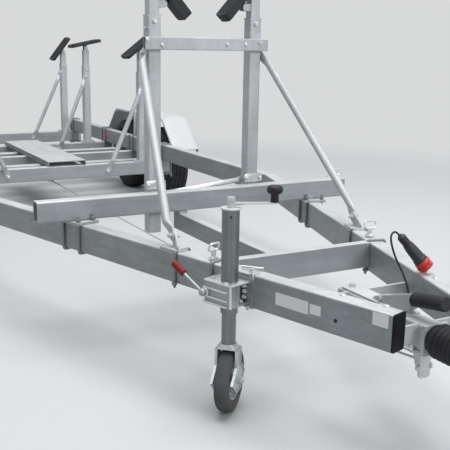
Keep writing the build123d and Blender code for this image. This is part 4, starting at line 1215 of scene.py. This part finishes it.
def floor_material():
    """A pale floor that passes into the backdrop's colour far from the trailer."""
    material = bpy.data.materials.new("pale_floor")
    material.use_nodes = True
    tree = material.node_tree
    join = tree.links.new
    shader = tree.nodes["Principled BSDF"]
    shader.inputs["Roughness"].default_value = 0.85
    tone, factor, bounce, seen, result = colour_mix(tree)
    bounce.default_value = (*FLOOR_BOUNCE, 1.0)
    seen.default_value = (*FLOOR_COLOUR, 1.0)
    join(seen_rays(tree), factor)
    join(result, shader.inputs["Base Color"])
    coords = tree.nodes.new("ShaderNodeTexCoord").outputs["Object"]
    length = tree.nodes.new("ShaderNodeVectorMath")
    length.operation = "LENGTH"
    join(coords, length.inputs[0])
    far = tree.nodes.new("ShaderNodeMapRange")
    far.interpolation_type = "SMOOTHSTEP"
    far.inputs["From Min"].default_value = FADE_START
    far.inputs["From Max"].default_value = FADE_END
    join(length.outputs["Value"], far.inputs["Value"])
    both = tree.nodes.new("ShaderNodeMath")
    both.operation = "MULTIPLY"
    join(far.outputs["Result"], both.inputs[0])
    join(seen_rays(tree), both.inputs[1])
    glow = tree.nodes.new("ShaderNodeEmission")
    glow.inputs["Color"].default_value = (*BACKDROP, 1.0)
    blend = tree.nodes.new("ShaderNodeMixShader")
    join(both.outputs[0], blend.inputs[0])
    join(shader.outputs[0], blend.inputs[1])
    join(glow.outputs[0], blend.inputs[2])
    join(blend.outputs[0], tree.nodes["Material Output"].inputs["Surface"])
    return material


floor_mesh = bpy.data.meshes.new("floor")
corners = [(x * FLOOR_HALF, y * FLOOR_HALF, 0) for x, y in ((-1, -1), (1, -1), (1, 1), (-1, 1))]
floor_mesh.from_pydata(corners, [], [(0, 1, 2, 3)])
floor =bpy.data.objects.new("floor", floor_mesh)
bpy.context.scene.collection.objects.link(floor)
floor_mesh.materials.append(floor_material())

world = bpy.data.worlds.new("sky")
bpy.context.scene.world = world
world.use_nodes = True
sky = world.node_tree
ambient = sky.nodes["Background"]
ambient.inputs["Color"].default_value = AMBIENT_COLOUR
ambient.inputs["Strength"].default_value = AMBIENT_STRENGTH
shown = sky.nodes.new("ShaderNodeBackground")
shown.inputs["Color"].default_value = (*BACKDROP, 1.0)
either = sky.nodes.new("ShaderNodeMixShader")
sky.links.new(seen_rays(sky), either.inputs[0])
sky.links.new(ambient.outputs[0], either.inputs[1])
sky.links.new(shown.outputs[0], either.inputs[2])
sky.links.new(either.outputs[0], sky.nodes["World Output"].inputs["Surface"])


def area_lamp(name, where, target, size, power):
    """A round lamp turned towards a target, in metres and watts."""
    data = bpy.data.lights.new(name, "AREA")
    data.shape = "DISK"
    data.size = size
    data.energy = power
    lamp = bpy.data.objects.new(name, data)
    bpy.context.scene.collection.objects.link(lamp)
    lamp.location = where
    lamp.rotation_mode = "QUATERNION"
    lamp.rotation_quaternion = (Vector(target) - Vector(where)).to_track_quat("-Z", "Y")


area_lamp("sky_lamp", (0.5, -1.5, 9.0), (0.0, -1.0, 0.3), 8.0, SKY_WATTS)
area_lamp("front_lamp", (2.6, -9.5, 4.5), (0.0, -1.5, 0.6), 4.0, FRONT_WATTS)


# Camera


def camera():
    yaw, pitch, roll = (math.radians(a) for a in (CAMERA_YAW, CAMERA_PITCH, CAMERA_ROLL))
    forward = Vector((math.sin(yaw) * math.cos(pitch), math.cos(yaw) * math.cos(pitch), -math.sin(pitch)))
    right = Vector((math.cos(yaw), -math.sin(yaw), 0.0))
    up = right.cross(forward)
    rolled_right = right * math.cos(roll) + up * math.sin(roll)
    rolled_up = up * math.cos(roll) - right * math.sin(roll)
    data = bpy.data.cameras.new("camera")
    data.sensor_width = SENSOR_MM
    data.lens = FOCAL_PIXELS / IMAGE_PIXELS * SENSOR_MM
    data.clip_start = 0.05
    data.clip_end = 200.0
    thing = bpy.data.objects.new("camera", data)
    bpy.context.scene.collection.objects.link(thing)
    turn = Matrix((rolled_right, rolled_up, -forward)).transposed()
    thing.matrix_world = Matrix.Translation(place(*CAMERA_PLACE)) @ turn.to_4x4()
    bpy.context.scene.camera = thing


camera()
bpy.context.scene.view_settings.view_transform = "Standard"
